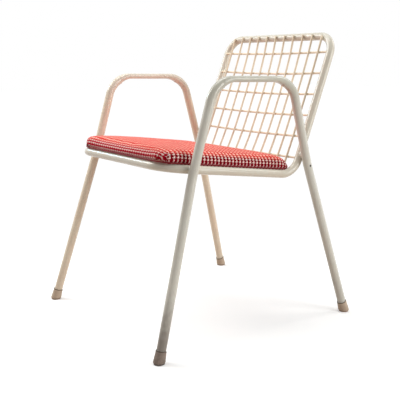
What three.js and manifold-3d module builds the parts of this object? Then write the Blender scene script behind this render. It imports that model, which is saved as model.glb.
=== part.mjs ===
// A garden armchair of bent steel tube and welded wire, with a loose seat cushion.
// Millimetres, +Z up, the front of the chair towards -Y, the floor at z = 0.
// Two inverted U tubes make the legs and arms. One bent loop makes the seat and back frame.
// A grid of wires fills the loop, bowed away from the sitter and shaped to the tubes it meets.

import * as THREE from 'three';
import { mergeVertices } from 'three/addons/utils/BufferGeometryUtils.js';
import Module from 'manifold-3d';

// Side frames: each one is a single tube, foot to arm to foot
const legTube = 22;
const footSpread = 275;
const footReach = 297.3;
const splayHeight = 407;
const splayBend = 150;
const armFrontReach = 114.3;
const armFrontHeight = 621.8;
const armRearReach = 120.3;
const armRearHeight = 619;
const armBend = 64;

// The arm is pressed from below, so its top stays in line with the bends.
// The press leaves a slope beyond each end of the flat, and a small step where the die ended
const armThickness = 15;
const armFlat = 126;
const armPressSlope = 30;
const armPressStep = 3;

// Small hole in the outer face of each rear leg
const ventHole = 5.5;
const ventDepth = 5;
const ventHeight = 404;

// Seat and back loop, on the centre line of its tube
const loopTube = 20.5;
const seatHalfWidth = 215;
const seatFrontReach = 237;
const seatFrontHeight = 429;
const seatRearReach = 155;
const seatRearHeight = 380;
const backTopReach = 288;
const backTopHeight = 730;
const seatCornerBend = 70;
const seatBackBend = 54;
const backCornerBend = 50;

// Wire grid, bent more tightly than the loop between the seat and the back
const wireThickness = 5.5;
const longPitch = 36.4;
const longCount = 11;
const longBend = 22;
const crossPitch = 57.1;
const crossCount = 12;
const topCrossDrop = 46.2;
const backSag = 14;
const seatSag = 10;
const wireTipInset = 3;
const crossEndInset = 5;

// Foot caps, each with a flat sole under a flared cup
const capHeight = 30;
const capFootWidth = 28;
const capLipWidth = 24.8;
const capFloor = 10;
const soleWidth = 26;
const soleHeight = 4;

// Weld beads between the loop and the legs, each one round the spot where the two tubes meet
const weldReach = 9;
const weldBulge = 5;
const weldCore = 4;

// Seat cushion, in the sloping plane of the seat and measured from the front tube's centre line
const cushionHalfWidth = 213;
const cushionOverhang = 3;
const cushionFrontCorner = 62;
const cushionRearCorner = 34;
const cushionEdgeHeight = 38;
const cushionCrown = 7;
const cushionSideBulge = 3;
const cushionDrawIn = 3;
const cushionEdgeRound = 10;
const cushionRimRound = 2.5;
const cushionRecessRise = 4;
const cushionRecessGap = 1.5;

// Clearances: between pieces that touch, and between the soft cushion and what it rests on
const gap = 0.3;
const softGap = 0.5;

// How finely round shapes are divided
const tubeSides = 16;
const wireSides = 8;
const capSides = 20;
const runSteps = 8;
const cornerSteps = 8;
const stepTurn = Math.PI / 16;

const wasm = await Module();
wasm.setup();

const legRadius = legTube / 2;
const loopRadius = loopTube / 2;
const wireRadius = wireThickness / 2;

// The legs stand just outside the loop, which is welded to their inner faces
const legHalfSpan = seatHalfWidth + loopRadius + gap + legRadius;

const sideways = new THREE.Vector3(1, 0, 0);
const upright = new THREE.Vector3(0, 1, 0);

const paint = { color: 0xe6dfd0, roughness: 0.32, metalness: 0.1 };
const wirePaint = { color: 0xe9e0d0, roughness: 0.34, metalness: 0.1 };
const capPlastic = { color: 0x8b8074, roughness: 0.6, metalness: 0 };
const fabric = { color: 0xb4434a, roughness: 0.9, metalness: 0 };

const chair = new THREE.Group();

function addMesh(name, geometry, look) {
  const mesh = new THREE.Mesh(geometry, new THREE.MeshStandardMaterial(look));
  mesh.name = name;
  chair.add(mesh);
}

// Six times the volume inside a closed mesh, negative when its faces point in
function signedVolume(positions, index) {
  const corner = (i) => new THREE.Vector3().fromArray(positions, 3 * index[i]);
  let sum = 0;
  for (let i = 0; i < index.length; i += 3) {
    sum += corner(i).dot(corner(i + 1).cross(corner(i + 2)));
  }
  return sum;
}

function closedGeometry(positions, index) {
  const faces = signedVolume(positions, index) < 0 ? [...index].reverse() : index;
  const geometry = new THREE.BufferGeometry();
  geometry.setAttribute('position', new THREE.Float32BufferAttribute(positions, 3));
  geometry.setIndex(faces);
  geometry.computeVertexNormals();
  return geometry;
}

// A skin over a row of rings. The end rings are closed, unless the last one meets the first
function loft(rings, endless = false) {
  const sides = rings[0].length;
  const positions = rings.flat().flatMap((p) => [p.x, p.y, p.z]);
  const index = [];
  const spans = endless ? rings.length : rings.length - 1;
  for (let i = 0; i < spans; i++) {
    const here = i * sides;
    const next = ((i + 1) % rings.length) * sides;
    for (let j = 0; j < sides; j++) {
      const k = (j + 1) % sides;
      index.push(here + j, here + k, next + k, here + j, next + k, next + j);
    }
  }
  if (!endless) {
    const last = (rings.length - 1) * sides;
    for (let j = 1; j < sides - 1; j++) {
      index.push(0, j + 1, j, last, last + j, last + j + 1);
    }
  }
  return closedGeometry(positions, index);
}

// A ring round a centre, from a section that gives its place across and above for an angle
function ringOf(centre, side, up, sides, section) {
  return Array.from({ length: sides }, (_, i) => {
    const { across, rise } = section((i / sides) * 2 * Math.PI);
    return centre.clone().addScaledVector(side, across).addScaledVector(up, rise);
  });
}

// A round bar through stations that each hold a point, a tangent and a side direction
function roundBar(stations, radius, sides, endless = false) {
  const circle = (angle) => ({ across: radius * Math.cos(angle), rise: radius * Math.sin(angle) });
  const rings = stations.map(({ point, tangent, side }) => {
    const up = new THREE.Vector3().crossVectors(side, tangent).normalize();
    const square = new THREE.Vector3().crossVectors(tangent, up).normalize();
    return ringOf(point, square, up, sides, circle);
  });
  return loft(rings, endless);
}

function toSolid(geometry) {
  const bare = geometry.clone();
  bare.deleteAttribute('normal');
  bare.deleteAttribute('uv');
  const merged = mergeVertices(bare);
  return new wasm.Manifold(new wasm.Mesh({
    numProp: 3,
    vertProperties: Float32Array.from(merged.attributes.position.array),
    triVerts: Uint32Array.from(merged.index.array),
  }));
}

function toGeometry(solid) {
  const mesh = solid.getMesh();
  return closedGeometry([...mesh.vertProperties], [...mesh.triVerts]);
}

// The arc that rounds one corner of a bent path
class CornerArc extends THREE.Curve {
  constructor(before, corner, after, radius) {
    super();
    const back = before.clone().sub(corner).normalize();
    const ahead = after.clone().sub(corner).normalize();
    const half = Math.acos(THREE.MathUtils.clamp(back.dot(ahead), -1, 1)) / 2;
    const middle = back.clone().add(ahead).normalize();
    this.turn = Math.PI - 2 * half;
    this.reach = radius / Math.tan(half);
    this.centre = corner.clone().addScaledVector(middle, radius / Math.sin(half));
    this.start = corner.clone().addScaledVector(back, this.reach);
    this.end = corner.clone().addScaledVector(ahead, this.reach);
    this.first = this.start.clone().sub(this.centre);
    this.last = this.end.clone().sub(this.centre);
  }

  getPoint(t, target = new THREE.Vector3()) {
    const a = Math.sin((1 - t) * this.turn) / Math.sin(this.turn);
    const b = Math.sin(t * this.turn) / Math.sin(this.turn);
    return target.copy(this.centre).addScaledVector(this.first, a).addScaledVector(this.last, b);
  }

  steps() {
    return Math.max(2, Math.round(this.turn / stepTurn));
  }
}

// Straight runs joined by round corners, with one radius for each inner point
function bentPath(points, radii) {
  const path = new THREE.CurvePath();
  let start = points[0];
  radii.forEach((radius, i) => {
    const arc = new CornerArc(points[i], points[i + 1], points[i + 2], radius);
    path.add(new THREE.LineCurve3(start, arc.start));
    path.add(arc);
    start = arc.end;
  });
  path.add(new THREE.LineCurve3(start, points.at(-1)));
  return path;
}

// Even steps from one value to another, without the first value
const stepsTo = (from, to, count) =>
  Array.from({ length: count }, (_, i) => THREE.MathUtils.lerp(from, to, (i + 1) / count));

// Distances along a path at which a bar needs a ring: the ends of each run and steps in each arc
function bendMarks(path) {
  const lengths = path.getCurveLengths();
  return path.curves.flatMap((curve, i) => {
    const from = i === 0 ? 0 : lengths[i - 1];
    return stepsTo(from, lengths[i], curve instanceof CornerArc ? curve.steps() : 1);
  });
}

// Marks in order, leaving out those that crowd the one before them
function sortedMarks(marks) {
  const kept = [];
  for (const mark of [...marks].sort((a, b) => a - b)) {
    if (kept.length === 0 || mark - kept.at(-1) > gap) {
      kept.push(mark);
    }
  }
  return kept;
}

// Side frames

const footPoint = (hand, end) => new THREE.Vector3(hand * footSpread, end * footReach, 0);

function armCorner(hand, end) {
  const reach = end < 0 ? armFrontReach : armRearReach;
  const height = end < 0 ? armFrontHeight : armRearHeight;
  return new THREE.Vector3(hand * legHalfSpan, end * reach, height);
}

// Seen from the side a leg is straight, so every height has its place between foot and arm
function legPoint(hand, end, height) {
  const arm = armCorner(hand, end);
  const point = footPoint(hand, end).lerp(arm, height / arm.z);
  point.x = hand * legHalfSpan;
  return point;
}

function legDirection(hand, end) {
  return legPoint(hand, end, splayHeight).sub(footPoint(hand, end)).normalize();
}

const tubeEnd = (hand, end) => footPoint(hand, end).addScaledVector(legDirection(hand, end), capFloor);

// The flattened tube keeps its length round, so it grows wider as it grows thinner
const pressedHalfWidth = armThickness / 2 + (Math.PI / 2) * (legRadius - armThickness / 2);
const pressedRoundness = 1.35;
const pressedEndShare = 0.25;

// Distances from the middle of the arm at which its section changes
const pressMarks = [armFlat / 2, (armFlat + armPressSlope) / 2, armFlat / 2 + armPressSlope,
  armFlat / 2 + armPressSlope + armPressStep];

// How far the press has closed the tube, from 1 on the flat to 0 on the round bends
function pressAt(distance) {
  const beyond = Math.abs(distance) - armFlat / 2;
  if (beyond <= 0) {
    return 1;
  }
  if (beyond <= armPressSlope) {
    return THREE.MathUtils.lerp(1, pressedEndShare, beyond / armPressSlope);
  }
  return pressedEndShare * Math.max(0, 1 - (beyond - armPressSlope) / armPressStep);
}

// The arm's section: round, pressed or between the two, and larger all round by the swell
function armSection(press, swell) {
  const half = armThickness / 2;
  const squared = (value) => Math.sign(value) * Math.abs(value) ** (1 / pressedRoundness);
  return (angle) => {
    const x = Math.cos(angle);
    const z = Math.sin(angle);
    const flatRise = legRadius - half + half * squared(z);
    return {
      across: THREE.MathUtils.lerp(legRadius * x, pressedHalfWidth * squared(x), press) + swell * x,
      rise: THREE.MathUtils.lerp(legRadius * z, flatRise, press) + swell * z,
    };
  };
}

function sideFrame(hand, swell = 0) {
  const corners = [tubeEnd(hand, -1), legPoint(hand, -1, splayHeight), armCorner(hand, -1),
    armCorner(hand, 1), legPoint(hand, 1, splayHeight), tubeEnd(hand, 1)];
  const path = bentPath(corners, [splayBend, armBend, armBend, splayBend]);
  const length = path.getLength();
  const arm = path.curves.findIndex((curve) => curve instanceof THREE.LineCurve3
    && curve.v1.y < 0 && curve.v2.y > 0);
  const lengths = path.getCurveLengths();
  const middle = (lengths[arm - 1] + lengths[arm]) / 2;
  const presses = pressMarks.flatMap((mark) => [middle - mark, middle + mark]);
  const rings = sortedMarks([0, ...bendMarks(path), ...presses]).map((mark) => {
    const share = Math.min(1, mark / length);
    const tangent = path.getTangent(share);
    const up = new THREE.Vector3().crossVectors(sideways, tangent).normalize();
    const side = new THREE.Vector3().crossVectors(tangent, up).normalize();
    return ringOf(path.getPoint(share), side, up, tubeSides, armSection(pressAt(mark - middle), swell));
  });
  return loft(rings);
}

// A blind hole from the outer face of the rear leg
function ventCutter(hand) {
  const spot = legPoint(hand, 1, ventHeight);
  const cutter = new THREE.CylinderGeometry(ventHole / 2, ventHole / 2, 2 * ventDepth, cornerSteps);
  cutter.rotateZ(Math.PI / 2);
  cutter.translate(spot.x + hand * legRadius, spot.y, spot.z);
  return cutter;
}

// Profiles: the seat line and the back line in the YZ plane, joined by a bend

const frontAxis = new THREE.Vector3(0, -seatFrontReach, seatFrontHeight);
const profileCorner = new THREE.Vector3(0, seatRearReach, seatRearHeight);
const topAxis = new THREE.Vector3(0, backTopReach, backTopHeight);
const seatLength = frontAxis.distanceTo(profileCorner);
const backLength = topAxis.distanceTo(profileCorner);
const seatAlong = profileCorner.clone().sub(frontAxis).normalize();
const backAlong = topAxis.clone().sub(profileCorner).normalize();
const seatNormal = new THREE.Vector3().crossVectors(sideways, seatAlong).normalize();

// A profile with its own bend, measured from the front tube's centre line
class Profile {
  constructor(bend) {
    this.bend = bend;
    this.arc = new CornerArc(frontAxis, profileCorner, topAxis, bend);
    this.seatRun = seatLength - this.arc.reach;
    this.backStart = this.seatRun + bend * this.arc.turn;
    this.length = this.backStart + backLength - this.arc.reach;
  }

  // Point on the profile with the direction along it and the normal towards the sitter
  at(distance) {
    const along = seatAlong.clone();
    const point = frontAxis.clone().addScaledVector(seatAlong, distance);
    if (distance > this.backStart) {
      along.copy(backAlong);
      point.copy(topAxis).addScaledVector(backAlong, distance - this.length);
    } else if (distance > this.seatRun) {
      const share = (distance - this.seatRun) / (this.backStart - this.seatRun);
      along.applyAxisAngle(sideways, share * this.arc.turn);
      this.arc.getPoint(share, point);
    }
    return { point, along, normal: new THREE.Vector3().crossVectors(sideways, along).normalize() };
  }

  // A place across the chair, along the profile and above it
  place(across, distance, above) {
    const { point, normal } = this.at(distance);
    return point.addScaledVector(sideways, across).addScaledVector(normal, above);
  }

  // Marks from one distance to another, close together in the bend
  marks(from, to) {
    return [from, ...stepsTo(from, this.seatRun, runSteps),
      ...stepsTo(this.seatRun, this.backStart, this.arc.steps()),
      ...stepsTo(this.backStart, to, runSteps)];
  }
}

// Seat and back loop: a rectangle with round corners, drawn on the unrolled profile

const loopProfile = new Profile(seatBackBend);

function loopFrame(radius) {
  const wide = seatHalfWidth;
  const deep = loopProfile.length;
  const corners = [new THREE.Vector3(), new THREE.Vector3(wide, 0, 0), new THREE.Vector3(wide, deep, 0),
    new THREE.Vector3(-wide, deep, 0), new THREE.Vector3(-wide, 0, 0), new THREE.Vector3()];
  const path = bentPath(corners, [seatCornerBend, backCornerBend, backCornerBend, seatCornerBend]);
  const length = path.getLength();
  const sideStart = path.getCurveLengths()[1] - seatCornerBend;
  const { seatRun, backStart, arc } = loopProfile;
  const bends = [seatRun, ...stepsTo(seatRun, backStart, arc.steps())]
    .flatMap((mark) => [sideStart + mark, length - sideStart - mark]);
  const marks = sortedMarks([...bendMarks(path), ...bends]);
  const stations = marks.map((mark) => {
    const flatPoint = path.getPoint(Math.min(1, mark / length));
    const flatTangent = path.getTangent(Math.min(1, mark / length));
    const { along, normal } = loopProfile.at(flatPoint.y);
    const tangent = along.multiplyScalar(flatTangent.y).addScaledVector(sideways, flatTangent.x);
    return { point: loopProfile.place(flatPoint.x, flatPoint.y, 0), tangent, side: normal };
  });
  return roundBar(stations, radius, tubeSides, true);
}

// How far a round corner of the loop lies inside the straight end it joins
function cornerLoss(across, bend) {
  const into = Math.max(0, Math.abs(across) - (seatHalfWidth - bend));
  return bend - Math.sqrt(Math.max(0, bend * bend - into * into));
}

// Half the width of the loop at a distance from its front tube
function loopHalfWidth(distance) {
  const into = Math.max(0, seatCornerBend - distance);
  return seatHalfWidth - seatCornerBend + Math.sqrt(seatCornerBend ** 2 - into ** 2);
}

// Wire grid: the long wires lie over the cross wires, and the grid sags between the tubes

const longHeight = loopRadius + gap + wireRadius;
const crossHeight = longHeight - wireThickness - gap;
const gridProfile = new Profile(longBend + longHeight);
const sagPower = 3;

// Depth of the sag at a place on the grid: none at the tubes or at the seat's rear corner
function sagAt(across, distance) {
  const { seatRun, backStart, arc, length } = gridProfile;
  const hollow = (share) => 1 - Math.abs(2 * share - 1) ** sagPower;
  const seat = seatSag * hollow(Math.min(distance, seatRun) / seatLength);
  const back = backSag * hollow((length - Math.max(distance, backStart)) / backLength);
  const turned = THREE.MathUtils.clamp((distance - seatRun) / (longBend * arc.turn), 0, 1);
  return THREE.MathUtils.lerp(seat, back, turned) * (1 - (across / seatHalfWidth) ** 2);
}

// Stations of a wire that follows the sagging grid, with tangents from neighbouring points
function wireStations(points, side) {
  return points.map((point, i) => {
    const before = points[Math.max(0, i - 1)];
    const after = points[Math.min(points.length - 1, i + 1)];
    return { point, tangent: after.clone().sub(before).normalize(), side };
  });
}

// Tips of the long wires lie on the front tube and on the top tube, which is lower at its corners
const outerEdge = (across) => Math.abs(across) + wireRadius;
const longFront = (across) => cornerLoss(outerEdge(across), seatCornerBend) + wireTipInset;
const longEnd = (across) => gridProfile.length - cornerLoss(outerEdge(across), backCornerBend);

function longWire(across) {
  const marks = gridProfile.marks(longFront(across), longEnd(across));
  const points = marks.map((mark) => gridProfile.place(across, mark, longHeight - sagAt(across, mark)));
  return roundBar(wireStations(points, sideways), wireRadius, wireSides);
}

// Cross wires run from side to side and are shaped to the tubes where they end
function crossWire(distance, looseLoop) {
  const reach = loopHalfWidth(distance) - crossEndInset;
  const places = [-reach, ...stepsTo(-reach, reach, runSteps)];
  const points = places.map((across) => {
    return gridProfile.place(across, distance, crossHeight - sagAt(across, distance));
  });
  const bar = roundBar(wireStations(points, gridProfile.at(distance).normal), wireRadius, wireSides);
  return toGeometry(toSolid(bar).subtract(looseLoop));
}

// Foot caps: a flared cup on each tube end, in line with the leg, over a level sole

function footCap(hand, end) {
  const bore = legRadius + gap;
  const edge = capFootWidth / 2;
  const lip = capLipWidth / 2;
  const floor = capFloor - gap;
  const waist = [THREE.MathUtils.lerp(lip, edge, 0.3), capHeight / 2];
  const outline = [[0, -edge], [edge, -edge], [edge, 0], waist, [lip, capHeight - lip + bore],
    [(lip + bore) / 2, capHeight], [bore, capHeight - lip + bore], [bore, floor], [0, floor]];
  const cup = new THREE.LatheGeometry(outline.map(([x, y]) => new THREE.Vector2(x, y)), capSides);
  const lean = legDirection(hand, end);
  cup.applyQuaternion(new THREE.Quaternion().setFromUnitVectors(upright, lean));
  const ground = new THREE.BoxGeometry(2 * capFootWidth, 2 * capFootWidth, 2 * capFootWidth);
  ground.translate(0, 0, soleHeight - capFootWidth);
  const radius = soleWidth / 2;
  const sole = new THREE.CylinderGeometry(radius, radius, soleHeight, capSides);
  sole.rotateX(Math.PI / 2);
  sole.translate((lean.x / lean.z) * soleHeight, (lean.y / lean.z) * soleHeight, soleHeight / 2);
  const solid = toSolid(cup).subtract(toSolid(ground)).add(toSolid(sole));
  const foot = footPoint(hand, end);
  return toGeometry(solid).translate(foot.x, foot.y, foot.z);
}

// Weld beads: a ring of weld metal in the crevice where the loop crosses a leg

// Where a leg crosses the loop, seen from the side
function crossing(end) {
  const foot = footPoint(1, end);
  const leg = armCorner(1, end).sub(foot);
  const along = end < 0 ? seatAlong : backAlong;
  const offset = profileCorner.clone().sub(foot);
  const share = (offset.y * along.z - offset.z * along.y) / (leg.y * along.z - leg.z * along.y);
  return foot.addScaledVector(leg, share);
}

function weldBead(hand, end, cutters) {
  const spot = crossing(end);
  spot.x = hand * (seatHalfWidth + loopRadius + gap / 2);
  const bead = new THREE.SphereGeometry(1, capSides, capSides / 2);
  bead.scale(weldBulge, weldReach, weldReach);
  const core = new THREE.CylinderGeometry(weldCore, weldCore, 2 * weldBulge, capSides / 2);
  core.rotateZ(Math.PI / 2);
  const ring = toSolid(bead.translate(spot.x, spot.y, spot.z))
    .subtract(toSolid(core.translate(spot.x, spot.y, spot.z)));
  return toGeometry(cutters.reduce((solid, cutter) => solid.subtract(cutter), ring));
}

// Seat cushion: rings from the middle of its top, over the edge and back along the underside

const gridEdge = ((longCount - 1) / 2) * longPitch + wireRadius + cushionRecessGap;
const wireTop = longHeight + wireRadius + softGap;
const rimLevel = loopRadius + softGap;
const backLean = Math.tan(gridProfile.arc.turn - Math.PI / 2);
const seatFacing = 1 / Math.cos(gridProfile.arc.turn - Math.PI / 2);

// How far back the cushion can reach at a height: as far as the grid's bend and its back
function gridFace(height) {
  const { seatRun, bend, arc } = gridProfile;
  const inner = bend - wireTop;
  const drop = Math.max(0, bend - height);
  if (drop > inner * Math.cos(arc.turn)) {
    return seatRun + Math.sqrt(Math.max(0, inner ** 2 - Math.min(drop, inner) ** 2));
  }
  return seatLength - height * backLean - wireTop * seatFacing;
}

// Height of what the cushion rests on: the grid in the middle, the loop's tube round it
function restHeight(across, distance) {
  const onGrid = Math.abs(across) < gridEdge + gap && distance > wireTipInset;
  const { seatRun, bend } = onGrid ? gridProfile : loopProfile;
  const level = onGrid ? wireTop - sagAt(across, distance) : rimLevel;
  const past = Math.max(0, distance - seatRun);
  const rise = bend - wireTop - Math.sqrt(Math.max(0, (bend - wireTop) ** 2 - past ** 2));
  return level + rise;
}

const cushionDepth = gridFace(cushionEdgeHeight);

function topHeight(across, distance) {
  const acrossShare = Math.min(1, Math.abs(across) / cushionHalfWidth);
  const alongShare = Math.min(1, Math.abs((2 * distance) / cushionDepth - 1));
  return cushionEdgeHeight + cushionCrown * (1 - acrossShare ** 3) * (1 - alongShare ** 3);
}

// Between its corners the cushion's side is drawn in a little
function drawnIn(across, distance) {
  const middle = 1 - ((2 * distance) / cushionDepth - 1) ** 2;
  return across - Math.sign(across) * cushionDrawIn * Math.max(0, middle);
}

// A rectangle with round corners in the seat's plane, as places across and along the seat.
// The front corners can turn through less than a quarter, which leaves them cut short at the sides
function outline(halfWidth, front, rear, frontBend, rearBend, frontTurnShare = 1) {
  const corners = [[1, rear, rearBend, 0, 1], [-1, rear, rearBend, 1, 1],
    [-1, front, frontBend, 3 - frontTurnShare, frontTurnShare],
    [1, front, frontBend, 3, frontTurnShare]];
  return corners.flatMap(([hand, distance, bend, quarter, turnShare]) => {
    const centreAcross = hand * (halfWidth - bend);
    const centreAlong = distance === rear ? rear - bend : front + bend;
    return [0, ...stepsTo(0, 1, cornerSteps)].map((share) => {
      const angle = (quarter + share * turnShare) * (Math.PI / 2);
      return [centreAcross + bend * Math.cos(angle), centreAlong + bend * Math.sin(angle)];
    });
  });
}

// One ring of the cushion, drawn in by an inset. Its height may depend on the place
function cushionRing(inset, heightAt) {
  const places = outline(cushionHalfWidth - inset, inset - cushionOverhang, cushionDepth - inset,
    Math.max(cushionRearCorner, cushionFrontCorner - inset), cushionRearCorner);
  return places.map(([across, distance]) => {
    const side = drawnIn(across, distance);
    const height = heightAt(side, distance);
    return onSeat(side, Math.min(distance, gridFace(height)), height);
  });
}

function onSeat(across, distance, above) {
  return frontAxis.clone().addScaledVector(seatAlong, distance)
    .addScaledVector(sideways, across).addScaledVector(seatNormal, above);
}

// The step round the grid, where the wires press into the underside
function recessRing(rise) {
  const tips = wireTipInset - softGap;
  const rear = gridProfile.seatRun - rise;
  const frontTurn = Math.asin((gridEdge - seatHalfWidth + seatCornerBend) / seatCornerBend);
  const places = outline(seatHalfWidth, tips, rear, seatCornerBend, seatHalfWidth - gridEdge,
    frontTurn / (Math.PI / 2));
  return places.map(([across, distance]) => {
    const side = THREE.MathUtils.clamp(across, -gridEdge, gridEdge);
    const level = distance > rear - gap ? wireTop : rimLevel;
    return onSeat(side, distance, rise > 0 ? wireTop : level);
  });
}

function cushionPad() {
  const half = cushionHalfWidth;
  const onTop = (inset, drop) => cushionRing(inset, (a, d) => topHeight(a, d) - drop);
  const onWall = (inset, share) => cushionRing(inset, (a, d) => {
    return THREE.MathUtils.lerp(restHeight(a, d), topHeight(a, d) - cushionEdgeRound, share);
  });
  const under = (inset) => cushionRing(inset, (a, d) => restHeight(a, d));
  const insetShares = [0.8, 0.5, 0.25];
  return loft([
    ...insetShares.map((share) => onTop(half * share, 0)),
    onTop(cushionEdgeRound, 0),
    onTop(cushionEdgeRound / 3, cushionEdgeRound / 3),
    onWall(0, 1),
    onWall(-cushionSideBulge, 0.5),
    onWall(0, 0.12),
    under(cushionRimRound),
    recessRing(0),
    recessRing(cushionRecessRise),
    ...insetShares.reverse().map((share) => under(half * share)),
  ]);
}

// Assembly

const hands = [['left', 1], ['right', -1]];
const ends = [['front', -1], ['rear', 1]];

addMesh('seat_back_frame', loopFrame(loopRadius), paint);
const looseLoop = toSolid(loopFrame(loopRadius + gap));

for (const [side, hand] of hands) {
  const frame = toSolid(sideFrame(hand)).subtract(toSolid(ventCutter(hand)));
  addMesh(`side_frame_${side}`, toGeometry(frame), paint);
  const looseFrame = toSolid(sideFrame(hand, gap));
  for (const [place, end] of ends) {
    addMesh(`foot_cap_${place}_${side}`, footCap(hand, end), capPlastic);
    addMesh(`weld_${place}_${side}`, weldBead(hand, end, [looseFrame, looseLoop]), paint);
  }
}

for (let i = 0; i < longCount; i++) {
  addMesh(`long_wire_${i + 1}`, longWire((i - (longCount - 1) / 2) * longPitch), wirePaint);
}

for (let i = 0; i < crossCount; i++) {
  const distance = gridProfile.length - topCrossDrop - i * crossPitch;
  addMesh(`cross_wire_${i + 1}`, crossWire(distance, looseLoop), wirePaint);
}

addMesh('seat_cushion', cushionPad(), fabric);

export default chair;
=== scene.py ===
import logging
import math
from dataclasses import dataclass, field
from enum import Enum

import bmesh
import bpy
import numpy as np
from bpy.types import Material, Mesh, Node, NodeOutputs, NodeTree, Object
from mathutils import Matrix, Vector


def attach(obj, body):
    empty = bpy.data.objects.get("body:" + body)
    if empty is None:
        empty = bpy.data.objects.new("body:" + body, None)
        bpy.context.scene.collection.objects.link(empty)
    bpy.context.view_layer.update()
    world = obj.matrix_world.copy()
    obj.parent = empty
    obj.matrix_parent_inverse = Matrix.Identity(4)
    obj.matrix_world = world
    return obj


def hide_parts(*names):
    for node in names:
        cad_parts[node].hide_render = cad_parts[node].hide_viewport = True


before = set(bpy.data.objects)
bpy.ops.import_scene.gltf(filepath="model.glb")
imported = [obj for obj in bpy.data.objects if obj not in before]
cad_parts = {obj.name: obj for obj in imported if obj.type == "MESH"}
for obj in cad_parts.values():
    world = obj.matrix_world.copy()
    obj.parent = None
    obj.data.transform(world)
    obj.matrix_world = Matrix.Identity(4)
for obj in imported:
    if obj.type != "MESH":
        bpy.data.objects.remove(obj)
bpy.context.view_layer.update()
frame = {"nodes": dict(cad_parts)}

LOG = logging.getLogger("patio_chair")
MM = 0.001
TINY = 1e-6
ACROSS = np.array([1.0, 0.0, 0.0])
NO_CREASE = 180
WHITE = (1, 1, 1, 1)
BLACK = (0, 0, 0, 1)
FLOAT = "NodeSocketFloat"
VECTOR = "NodeSocketVector"
COLOUR = "NodeSocketColor"

Array = np.ndarray
Colour = tuple[float, float, float]
Linear = tuple[float, float, float, float]
Inputs = dict[str | int, object]
Socket = bpy.types.NodeSocket


class Body(Enum):
    """The rigid bodies that the pieces ride on."""

    FRAME = "frame"
    CUSHION = "cushion"


class Slot(Enum):
    """The record's material slots."""

    TUBE = "tube_paint"
    WIRE = "wire_paint"
    CAP = "foot_cap"
    CUSHION = "cushion_fabric"


class Sign(Enum):
    """A side or an end of the chair, as the sign of its coordinate."""

    @property
    def word(self) -> str:
        """The word that node names use for it."""
        return self.name.lower()


class Hand(Sign):
    """The two sides of the chair, as the sign of X."""

    LEFT = 1
    RIGHT = -1


class End(Sign):
    """The front and the rear of the chair, as the sign of Y."""

    FRONT = -1
    REAR = 1


@dataclass(frozen=True)
class ChairSizes:
    """Driving sizes of the chair, in millimetres, the same as in the CAD model."""

    leg_tube: float = 22
    foot_spread: float = 275
    foot_reach: float = 297.3
    splay_height: float = 407
    splay_bend: float = 150
    arm_front_reach: float = 114.3
    arm_front_height: float = 621.8
    arm_rear_reach: float = 120.3
    arm_rear_height: float = 619
    arm_bend: float = 64
    arm_thickness: float = 15
    arm_flat: float = 126
    arm_press_slope: float = 30
    arm_press_step: float = 3
    vent_hole: float = 5.5
    vent_depth: float = 5
    vent_height: float = 404
    loop_tube: float = 20.5
    seat_half_width: float = 215
    seat_front_reach: float = 237
    seat_front_height: float = 429
    seat_rear_reach: float = 155
    seat_rear_height: float = 380
    back_top_reach: float = 288
    back_top_height: float = 730
    seat_corner_bend: float = 70
    seat_back_bend: float = 54
    back_corner_bend: float = 50
    wire: float = 5.5
    long_pitch: float = 36.4
    long_count: int = 11
    long_bend: float = 22
    cross_pitch: float = 57.1
    cross_count: int = 12
    top_cross_drop: float = 46.2
    back_sag: float = 14
    seat_sag: float = 10
    sag_power: float = 3
    wire_tip_inset: float = 3
    gap: float = 0.3

    @property
    def leg_radius(self) -> float:
        """Outer radius of the leg and arm tube."""
        return self.leg_tube / 2

    @property
    def loop_radius(self) -> float:
        """Outer radius of the seat and back tube."""
        return self.loop_tube / 2

    @property
    def wire_radius(self) -> float:
        """Radius of the grid's wires."""
        return self.wire / 2

    @property
    def leg_half_span(self) -> float:
        """X of the upper legs' centre line, just outside the loop."""
        return self.seat_half_width + self.loop_radius + self.gap + self.leg_radius

    @property
    def long_height(self) -> float:
        """Height of the long wires' centre line over the loop's centre line."""
        return self.loop_radius + self.gap + self.wire_radius

    @property
    def cross_height(self) -> float:
        """Height of the cross wires' centre line over the loop's centre line."""
        return self.long_height - self.wire - self.gap

    @property
    def long_places(self) -> list[float]:
        """Places of the long wires across the chair."""
        return [(i - (self.long_count - 1) / 2) * self.long_pitch for i in range(self.long_count)]

    @property
    def press_marks(self) -> Array:
        """Distances from the arm's middle to the ends of its flat, its slope and its step."""
        return np.cumsum([self.arm_flat / 2, self.arm_press_slope, self.arm_press_step])


SIZES = ChairSizes()


def unit(vector: Array) -> Array:
    """The vector with length one."""
    return vector / np.linalg.norm(vector)


def lerp(a: float, b: float, share: float) -> float:
    """The value a share of the way from a to b."""
    return a + (b - a) * share


@dataclass
class Arc:
    """The arc that rounds one corner of a bent path.

    Args:
        before: A point on the run before the corner.
        corner: The corner where the two runs would meet.
        after: A point on the run after it.
        radius: Radius of the bend's centre line.
    """

    before: Array
    corner: Array
    after: Array
    radius: float

    def __post_init__(self) -> None:
        """Works out the arc's centre, ends and turn."""
        back = unit(self.before - self.corner)
        ahead = unit(self.after - self.corner)
        half = math.acos(float(np.clip(back @ ahead, -1, 1))) / 2
        self.turn = math.pi - 2 * half
        self.reach = self.radius / math.tan(half)
        self.centre = self.corner + unit(back + ahead) * self.radius / math.sin(half)
        self.start = self.corner + back * self.reach
        self.end = self.corner + ahead * self.reach

    def point(self, share: float) -> Array:
        """The point at a share of the way along the arc."""
        a = math.sin((1 - share) * self.turn) / math.sin(self.turn)
        b = math.sin(share * self.turn) / math.sin(self.turn)
        return self.centre + (self.start - self.centre) * a + (self.end - self.centre) * b


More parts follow.
